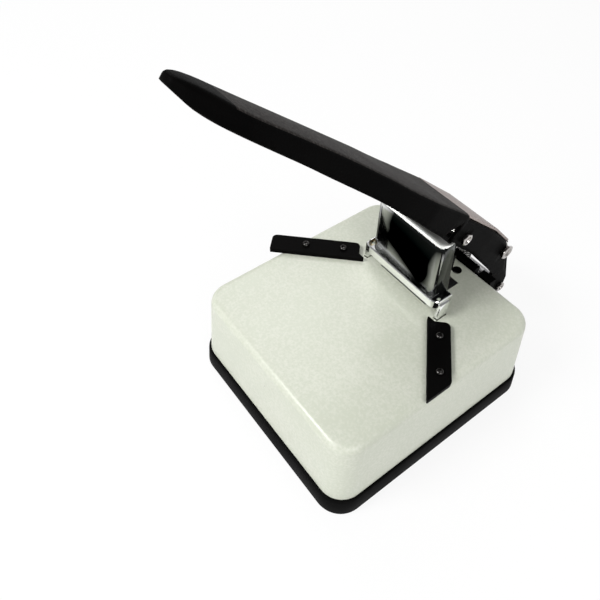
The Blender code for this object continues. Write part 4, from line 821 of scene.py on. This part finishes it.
def wound_wire(name, place, radius, wire, low, high, curls):
    """A coil of round wire on an upright axis, its end turns lying close, as one mesh tube."""
    total = curls * CURL_STEPS
    rises = []
    for i in range(total + 1):
        turn = i / total * curls
        close = min(turn / GROUND_CURLS, (curls - turn) / GROUND_CURLS, 1.0)
        rises.append(CLOSE_SHARE + (1 - CLOSE_SHARE) * close)
    risen = [0.0]
    for first, second in zip(rises, rises[1:]):
        risen.append(risen[-1] + (first + second) / 2)
    rings = []
    for i in range(total + 1):
        angle = 2 * math.pi * i / CURL_STEPS
        z = low + wire + (high - low - 2 * wire) * risen[i] / risen[-1]
        centre = Vector((place[0] + radius * math.cos(angle), place[1] + radius * math.sin(angle), z))
        out = Vector((math.cos(angle), math.sin(angle), 0.0))
        ring = []
        for k in range(WIRE_SIDES):
            around = 2 * math.pi * k / WIRE_SIDES
            ring.append(centre + out * wire * math.cos(around) + Vector((0, 0, wire * math.sin(around))))
        rings.append(ring)
    return smooth(skin(name, [rings]), 60)


spring_wire = bare_metal(
    "spring_wire", SPRING_STEEL, SPRING_STAIN, roughness=0.22, scratch_scale=200.0, scratch_bump=0.00001,
    stain_share=0.4,
)
low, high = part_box("return_spring")
lift_spring = wound_wire("lift_spring", (0.0, LIFT_Y), LIFT_RADIUS, LIFT_WIRE, low.z, high.z, LIFT_CURLS)
finish_in(lift_spring, spring_wire)
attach(lift_spring, "base")
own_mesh(lift_spring)
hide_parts("return_spring")
for word, side in (("left", -1), ("right", 1)):
    low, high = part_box("presser_spring_" + word)
    x, y = side * PRESS_BOLT[0], PRESS_BOLT[1]
    name = "press_spring_" + word
    press_spring = wound_wire(name, (x, y), PRESS_RADIUS, PRESS_WIRE, low.z, high.z, PRESS_CURLS)
    finish_in(press_spring, spring_wire)
    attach(press_spring, "presser")
    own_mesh(press_spring)
    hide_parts("presser_spring_" + word)

# Hand lever: one pressing of 2 mm steel sheet, a channel that is open below and narrows to a flared
# grip with a closed, blunt tip. Its coat is black, and pebbled on top, where its faces turned up short
# of the tip are painted browner and lighter: a painted sheen. It turns on the pivot bolt.
PIVOT = Vector((0.0, 0.044, 0.067))
LINK = Vector((0.0, -0.003, 0.106))
PIVOT_BORE, LINK_BORE = 0.00335, 0.00315
LEVER_ANGLE = math.radians(40.1)
LEVER_LENGTH = 0.2543
LEVER_TIP = 0.2510
LEVER_HALF = 0.020
LEVER_DEPTH = 0.012
LEVER_SHEET = 0.002
LEVER_EDGE, LEVER_EDGE_STEPS = 0.003, 5
EDGE_WIDTH_SHARE, EDGE_DEPTH_SHARE = 0.6, 0.5
LEVER_BEVEL = 0.0004
SPRING_SEAT_BEVEL = 0.0003
LEVER_STEP = 0.0025
LEVER_CUT = 0.03
ROOF_START = 0.006
CHANNEL_END, CHANNEL_FOOT_SHARE = 0.2445, -3.5
FLARE, FLARE_START, FLARE_FULL, FLARE_FADE = 0.0022, 0.186, 0.222, 0.236
CREASE_HEIGHT, CREASE_SHARE, LIP_SHARE = 0.0045, 0.45, 0.4
WINDOW = ((0.0465, 0.0), (0.064, 0.0), (0.064, 0.02), (0.0465, 0.02))
WINDOW_HALF = 0.012
RELIEF = (
    (0.0724, -0.0120), (0.0724, 0.0041), (0.0727, 0.0048), (0.0734, 0.0051), (0.0748, 0.0051),
    (0.0753, 0.0049), (0.0804, 0.0011), (0.0808, 0.0007), (0.0809, 0.0003), (0.0862, -0.0120),
)
LEVER_SHARES = (
    (-0.1097, 1.000, -1.192, -1.233), (-0.0427, 1.000, -0.250, -1.383), (-0.0055, 1.000, 0.283, -1.250),
    (0.0079, 1.000, 0.433, -1.200), (0.1074, 1.000, 0.708, -0.833), (0.1648, 1.000, 0.754, -0.625),
    (0.2737, 1.000, 0.800, -0.467), (0.2768, 1.000, 0.942, -0.458), (0.4062, 1.000, 0.917, -0.175),
    (0.4337, 0.965, 0.917, -0.108), (0.4904, 0.900, 0.925, -0.017), (0.5682, 0.775, 0.967, 0.100),
    (0.6870, 0.625, 0.983, 0.183), (0.7943, 0.575, 0.967, 0.300), (0.8753, 0.550, 0.950, 0.383),
    (0.9060, 0.500, 0.958, 0.400), (0.9390, 0.405, 0.978, 0.425), (0.9590, 0.340, 0.975, 0.470),
    (0.9720, 0.280, 0.950, 0.540), (0.9800, 0.220, 0.925, 0.600), (0.9850, 0.155, 0.900, 0.640),
    (0.9870, 0.095, 0.860, 0.680),
)
SHEEN_END, SHEEN_TILT = 0.230, 0.8
LEVER_SHEEN = (0.0140, 0.0115, 0.0105)
LEVER_SHEEN_PATCH = (0.0480, 0.0420, 0.0390)
LEVER_WORN = (0.090, 0.080, 0.073)


def along_lever(share, column):
    """A smooth, never overshooting value between the lever's rows at a share of its length."""
    rows = LEVER_SHARES
    rises = [(b[column] - a[column]) / (b[0] - a[0]) for a, b in zip(rows, rows[1:])]
    slopes = [rises[0]]
    for before, after in zip(rises, rises[1:]):
        slopes.append(0.0 if before * after <= 0 else 2 * before * after / (before + after))
    slopes.append(rises[-1])
    i = 0
    while i < len(rises) - 1 and share > rows[i + 1][0]:
        i += 1
    step = rows[i + 1][0] - rows[i][0]
    t = min(max((share - rows[i][0]) / step, 0.0), 1.0)
    start = (1 + 2 * t) * (1 - t) ** 2 * rows[i][column] + t * (1 - t) ** 2 * step * slopes[i]
    return start + t * t * (3 - 2 * t) * rows[i + 1][column] + t * t * (t - 1) * step * slopes[i + 1]


def lever_stations(first, last):
    """Places along the lever, closely spaced, with the rows' own places among them."""
    rows = [row[0] * LEVER_LENGTH for row in LEVER_SHARES]
    places = {round(spot, 6) for spot in rows if first <= spot <= last}
    count = int((last - first) / LEVER_STEP)
    for i in range(count + 1):
        spot = first + (last - first) * i / count
        if i in (0, count) or all(abs(spot - other) > LEVER_STEP * 0.3 for other in places):
            places.add(round(spot, 6))
    return sorted(places)


def flare(place):
    """How far the grip's lower edge is turned out, which starts and ends gently."""
    rise = min(max((place - FLARE_START) / (FLARE_FULL - FLARE_START), 0.0), 1.0)
    fall = 1.0 - min(max((place - FLARE_FADE) / (LEVER_TIP - FLARE_FADE), 0.0), 1.0)
    return FLARE * rise * rise * (3 - 2 * rise) * fall


def lever_point(x, along, height):
    """A point given across, along and above the lever, in the row frame."""
    cos_a, sin_a = math.cos(LEVER_ANGLE), math.sin(LEVER_ANGLE)
    return Vector((x, PIVOT.y - along * cos_a + height * sin_a, PIVOT.z + along * sin_a + height * cos_a))


def lever_ring(spot, width, top, low, edge, foot=None):
    """One section of the pressing: round shoulders, straight sides, and the lower edges turned out."""
    out = flare(spot)
    radius = min(edge, width * EDGE_WIDTH_SHARE, (top - low) * EDGE_DEPTH_SHARE)
    crease = low + min(CREASE_HEIGHT, (top - low) * CREASE_SHARE)
    half = [] if foot is None else [(width + out, foot)]
    half += [(width + out, low), (width + out * LIP_SHARE, (low + crease) / 2), (width, crease)]
    for i in range(LEVER_EDGE_STEPS + 1):
        angle = math.pi / 2 * i / LEVER_EDGE_STEPS
        half.append((width - radius * (1 - math.cos(angle)), top - radius * (1 - math.sin(angle))))
    return [lever_point(-x, spot, z) for x, z in half] + [lever_point(x, spot, z) for x, z in reversed(half)]


def lever_prism(name, outline, half):
    """A prism across the lever from an outline of (along, height) points."""
    return skin(name, [[[lever_point(x, along, height) for along, height in outline] for x in (-half, half)]])


lever_black = coat(
    "black_lever_coat", COAT_BLACK, COAT_PATCH, LEVER_WORN, roughness=0.50, grain_scale=1100.0, bump=0.00010,
    edge=0.35, level=0.012,
)
# A browner, lighter coat for the lever's top: a painted sheen.
lever_painted_sheen = coat(
    "pebbled_lever_painted_sheen", LEVER_SHEEN, LEVER_SHEEN_PATCH, LEVER_WORN, roughness=0.55, grain_scale=900.0,
    bump=0.00012, patch=0.35, edge_width=0.0007, level=0.04, mottle=1.6,
)
rear_end = LEVER_SHARES[0][0] * LEVER_LENGTH
outer = []
for spot in lever_stations(rear_end, LEVER_TIP):
    width, top, low = (along_lever(spot / LEVER_LENGTH, column) for column in (1, 2, 3))
    outer.append(lever_ring(spot, width * LEVER_HALF, top * LEVER_DEPTH, low * LEVER_DEPTH, LEVER_EDGE))
lever = skin("pressed_lever", [outer])
channel = []
below = CHANNEL_FOOT_SHARE * LEVER_DEPTH
edge = LEVER_EDGE - LEVER_SHEET
for spot in (rear_end - OVERRUN, ROOF_START, *lever_stations(ROOF_START + 3 * NEAR, CHANNEL_END)):
    width, top, low = (along_lever(max(spot, rear_end) / LEVER_LENGTH, column) for column in (1, 2, 3))
    roof = 2 * LEVER_DEPTH if spot <= ROOF_START else top * LEVER_DEPTH - LEVER_SHEET
    channel.append(lever_ring(spot, width * LEVER_HALF - LEVER_SHEET, roof, low * LEVER_DEPTH, edge, below))
tools = [skin("channel", [channel])]
for axle, radius in ((PIVOT, PIVOT_BORE), (LINK, LINK_BORE)):
    tools.append(solid_rod("bore", (-LEVER_CUT, axle.y, axle.z), (LEVER_CUT, axle.y, axle.z), radius))
tools.append(lever_prism("relief", RELIEF, LEVER_CUT))
tools.append(lever_prism("window", WINDOW, WINDOW_HALF))
work(lever, tools)
soften(lever, LEVER_BEVEL, 2, 50)
settle(lever)
smooth(lever, 40)
finish_in(lever, lever_black, lever_painted_sheen)
upward = Vector((0.0, math.sin(LEVER_ANGLE), math.cos(LEVER_ANGLE)))
forward = Vector((0.0, -math.cos(LEVER_ANGLE), math.sin(LEVER_ANGLE)))
# Faces turned up, short of the tip, take the browner coat: a painted sheen.
for face in lever.data.polygons:
    ahead = (face.center - PIVOT).dot(forward)
    face.material_index = 1 if face.normal.dot(upward) > SHEEN_TILT and ahead < SHEEN_END else 0
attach(lever, "lever")
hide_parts("lever_arm")
spring_seat = dress("spring_seat", ram_black, SPRING_SEAT_BEVEL)

# Cover plate: a lighter, finely sanded grey sheet that closes the lever's top over the ram. It is
# folded once to follow the lever, and its edges are painted almost white: a painted highlight.
COVER_GREY = (0.34, 0.290, 0.275)
COVER_PATCH = (0.42, 0.365, 0.345)
COVER_EDGE_HIGHLIGHT = (0.72, 0.69, 0.66)
COVER_BEVEL = 0.0004
# Its edges are painted almost white along the rubbed-edge mask: a painted highlight.
cover_grey = coat(
    "warm_grey_plate", COVER_GREY, COVER_PATCH, COVER_EDGE_HIGHLIGHT, roughness=0.50, grain_scale=1100.0, bump=0.00008,
    edge=0.9, edge_width=0.0005, level=0.1, mottle=1.6,
)
cover = dress("lever_cover_plate", cover_grey, COVER_BEVEL, 2, 30)

# Pivot, link and tie bolts with their nuts: bright zinc-plated steel, cold-headed. The heads are
# six-sided with dished crowns, and the bolts' ends stand a thread out of the chamfered nuts.
HEX_STEPS = 48
HEX_CORNER_SHARE = 1 / math.cos(math.pi / 6)
BOLT_HEAD = 0.0022
WASHER_FACE = 0.0004
WASHER_SHARES = ((0.0, 0.95), (1.0, 0.97), (1.25, HEX_CORNER_SHARE))
CROWN_SHARES = (
    (0.72, HEX_CORNER_SHARE), (0.88, 1.06), (0.97, 0.94), (1.0, 0.80), (0.98, 0.70), (0.60, 0.50),
)
NUT_SHARES = ((0.0, 0.94), (0.12, HEX_CORNER_SHARE), (0.88, HEX_CORNER_SHARE), (1.0, 0.94))
NUT_CHAMFER, NUT_CHAMFER_DEPTH, NUT_GAP = 0.0006, 0.0004, 0.00015
THREAD_PITCH, THREAD_DEPTH, BOLT_END = 0.0010, 0.0004, 0.0005
BOLT_ZINC = (0.50, 0.475, 0.46)
BOLT_PAINTED_REFLECTION = (0.07, 0.065, 0.06)


def hexagon(half, height, crown):
    """A ring of a six-sided form, cut back to a round crown where the crown is smaller."""
    ring = []
    for i in range(HEX_STEPS):
        angle = 2 * math.pi * i / HEX_STEPS
        radius = min(six_sided(half, angle), crown)
        ring.append((radius * math.cos(angle), radius * math.sin(angle), height))
    return ring


def across_x(rings, x, y, z):
    """Rings drawn round +Z, laid along X with +Z pointing to +X."""
    return [[Vector((x + point[2], y + point[0], z + point[1])) for point in ring] for ring in rings]


def headed(half):
    """The rings of a six-sided head: a round washer face, six flats and a turned crown with a dish in it."""
    rings = [hexagon(half, WASHER_FACE * high, half * wide) for high, wide in WASHER_SHARES]
    return rings + [hexagon(half, BOLT_HEAD * high, half * wide) for high, wide in CROWN_SHARES]


def threaded(radius, seat, start, end):
    """The rings of a shank between two ends, its thread drawn as ridges, down from below the head's seat."""
    rings = [disc_ring(0, 0, seat + BOLT_END, radius)]
    for i in range(int((end - start) / THREAD_PITCH)):
        rings.append(disc_ring(0, 0, end - i * THREAD_PITCH, radius))
        rings.append(disc_ring(0, 0, end - (i + 0.5) * THREAD_PITCH, radius - THREAD_DEPTH))
    rings.append(disc_ring(0, 0, start + 2 * NEAR, radius))
    rings.append(disc_ring(0, 0, start, radius - BOLT_END))
    return rings


def nut_rings(half, length, bore):
    """The rings of a six-sided nut with chamfered ends and bore, which run out, through it and back."""
    rings = [hexagon(half, length * high, half * wide) for high, wide in NUT_SHARES]
    for height, radius in (
        (length, bore + NUT_CHAMFER),
        (length - NUT_CHAMFER_DEPTH, bore + NUT_GAP),
        (NUT_CHAMFER_DEPTH, bore + NUT_GAP),
        (0.0, bore + NUT_CHAMFER),
    ):
        rings.append(disc_ring(0, 0, height, radius, HEX_STEPS))
    return rings


# The zinc is darkened and patched dark over most of it: painted dark reflection.
bolt_zinc = bare_metal(
    "bolt_zinc", BOLT_ZINC, BOLT_PAINTED_REFLECTION, roughness=0.14, scratch_scale=120.0, scratch_bump=0.00001,
    stain_share=0.85, wave=0.0001, wave_scale=160.0,
)
for word, head_across, nut_across, radius, body in (
    ("pivot", 0.0084, 0.0084, 0.0032, "base"),
    ("link", 0.0064, 0.0076, 0.0030, "lever"),
    ("tie", 0.0062, 0.0072, 0.0026, "base"),
):
    low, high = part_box(word + "_bolt")
    nut_low, nut_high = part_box(word + "_nut")
    y, z = (nut_low.y + nut_high.y) / 2, (nut_low.z + nut_high.z) / 2
    seat = high.x - BOLT_HEAD
    head = across_x(headed(head_across / 2), seat, y, z)
    shank = across_x(threaded(radius, seat, low.x, nut_high.x), 0.0, y, z)
    bolt = smooth(skin(word + "_hex_bolt", [head, shank]), 25)
    finish_in(bolt, bolt_zinc)
    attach(bolt, body)
    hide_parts(word + "_bolt")
    rings = across_x(nut_rings(nut_across / 2, nut_high.x - nut_low.x, radius), nut_low.x, y, z)
    nut = smooth(skin(word + "_hex_nut", [rings], looped=True), 25)
    finish_in(nut, bolt_zinc)
    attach(nut, body)
    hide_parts(word + "_nut")
for name in ("pivot_sleeve", "tie_sleeve"):
    piece = dress(name, ground_steel)
for name in ("pivot_washer_left", "pivot_washer_right", "link_spacer_left", "link_spacer_right"):
    piece = dress(name, bright_zinc)

# Rear bracket: black painted steel plate, welded up: a web screwed to the body's rear wall, two
# cheeks that carry the pivot and the tie, and a shelf that the long spring stands on.
BRACKET_BEVEL = 0.0004
bracket_black = coat(
    "bracket_black_paint", COAT_BLACK, COAT_PATCH, COAT_WORN, roughness=0.50, grain_scale=1200.0,
    bump=0.00003, edge_width=0.0005, level=0.012,
)
bracket = dress("rear_bracket", bracket_black, BRACKET_BEVEL)

# Stage: a plain pale floor that looks white to the camera and in the metal, a soft plain light, and
# the camera where the photograph was taken.
FLOOR_COLOUR = (0.90, 0.90, 0.90)
FLOOR_HALF, FLOOR_LOW, FLOOR_TOP = 3.0, -0.01, -0.0001
FLOOR_WHITE_SHARE = 0.88
LAMP_AIM = (0.0, -0.02, 0.05)
CAMERA_SENSOR, CAMERA_LENS, CAMERA_NEAR = 36.0, 35.04, 0.01
CAMERA_PLACE = (0.1424, -0.2015, 0.323)
CAMERA_VIEW = (-0.5035, 0.3753, -0.7782)

floor_white = bpy.data.materials.new("floor_white")
floor_white.use_nodes = True
tree = floor_white.node_tree
matt = tree.nodes["Principled BSDF"]
matt.inputs["Base Color"].default_value = (*FLOOR_COLOUR, 1)
matt.inputs["Roughness"].default_value = 0.9
matt.inputs["Specular IOR Level"].default_value = 0.1
white = node(tree, "ShaderNodeEmission", {"Color": (1, 1, 1, 1), "Strength": 1.0})
path = node(tree, "ShaderNodeLightPath")
seen = node(tree, "ShaderNodeMath", operation="MAXIMUM")
seen_all = node(tree, "ShaderNodeMath", operation="MAXIMUM")
part = node(tree, "ShaderNodeMath", {1: FLOOR_WHITE_SHARE}, operation="MULTIPLY")
mixed = node(tree, "ShaderNodeMixShader")
tree.links.new(path.outputs["Is Camera Ray"], seen.inputs[0])
tree.links.new(path.outputs["Is Glossy Ray"], seen.inputs[1])
tree.links.new(seen.outputs[0], seen_all.inputs[0])
tree.links.new(path.outputs["Is Transmission Ray"], seen_all.inputs[1])
tree.links.new(seen_all.outputs[0], part.inputs[0])
tree.links.new(part.outputs[0], mixed.inputs["Fac"])
tree.links.new(matt.outputs["BSDF"], mixed.inputs[1])
tree.links.new(white.outputs["Emission"], mixed.inputs[2])
tree.links.new(mixed.outputs["Shader"], tree.nodes["Material Output"].inputs["Surface"])
floor = solid_box("floor", (-FLOOR_HALF, -FLOOR_HALF, FLOOR_LOW), (FLOOR_HALF, FLOOR_HALF, FLOOR_TOP))
finish_in(floor, floor_white)

world = bpy.data.worlds.new("studio") if bpy.context.scene.world is None else bpy.context.scene.world
bpy.context.scene.world = world
world.use_nodes = True
tree = world.node_tree
tree.nodes.clear()
direction = node(tree, "ShaderNodeTexCoord")
split = node(tree, "ShaderNodeSeparateXYZ")
height = node(tree, "ShaderNodeMapRange", {"From Min": 0.05, "From Max": 0.55, "To Min": 1.0, "To Max": 0.30})
sky = node(tree, "ShaderNodeBackground")
shown = node(tree, "ShaderNodeBackground", {"Color": (1, 1, 1, 1), "Strength": 1.0})
path = node(tree, "ShaderNodeLightPath")
mixed = node(tree, "ShaderNodeMixShader")
out = node(tree, "ShaderNodeOutputWorld")
tree.links.new(direction.outputs["Generated"], split.inputs["Vector"])
tree.links.new(split.outputs["Z"], height.inputs["Value"])
tree.links.new(height.outputs["Result"], sky.inputs["Strength"])
tree.links.new(path.outputs["Is Camera Ray"], mixed.inputs["Fac"])
tree.links.new(sky.outputs["Background"], mixed.inputs[1])
tree.links.new(shown.outputs["Background"], mixed.inputs[2])
tree.links.new(mixed.outputs["Shader"], out.inputs["Surface"])

for name, place, size, power in (
    ("key_lamp", (-0.30, -0.85, 1.05), 0.40, 11.5),
    ("rim_lamp", (-0.72, 0.30, 1.05), 0.50, 3.5),
    ("fill_lamp", (0.9, -0.3, 0.9), 0.6, 5.9),
):
    lamp = bpy.data.lights.new(name, "AREA")
    lamp.shape = "SQUARE"
    lamp.size = size
    lamp.energy = power
    softbox = bpy.data.objects.new(name, lamp)
    softbox.location = place
    softbox.rotation_euler = (Vector(LAMP_AIM) - Vector(place)).to_track_quat("-Z", "Y").to_euler()
    bpy.context.scene.collection.objects.link(softbox)

camera = bpy.data.cameras.new("camera")
camera.sensor_width = CAMERA_SENSOR
camera.lens = CAMERA_LENS
camera.clip_start = CAMERA_NEAR
view_point = bpy.data.objects.new("camera", camera)
view_point.location = CAMERA_PLACE
view_point.rotation_euler = Vector(CAMERA_VIEW).to_track_quat("-Z", "Y").to_euler()
bpy.context.scene.collection.objects.link(view_point)
bpy.context.scene.camera = view_point
bpy.context.scene.view_settings.view_transform = "Standard"
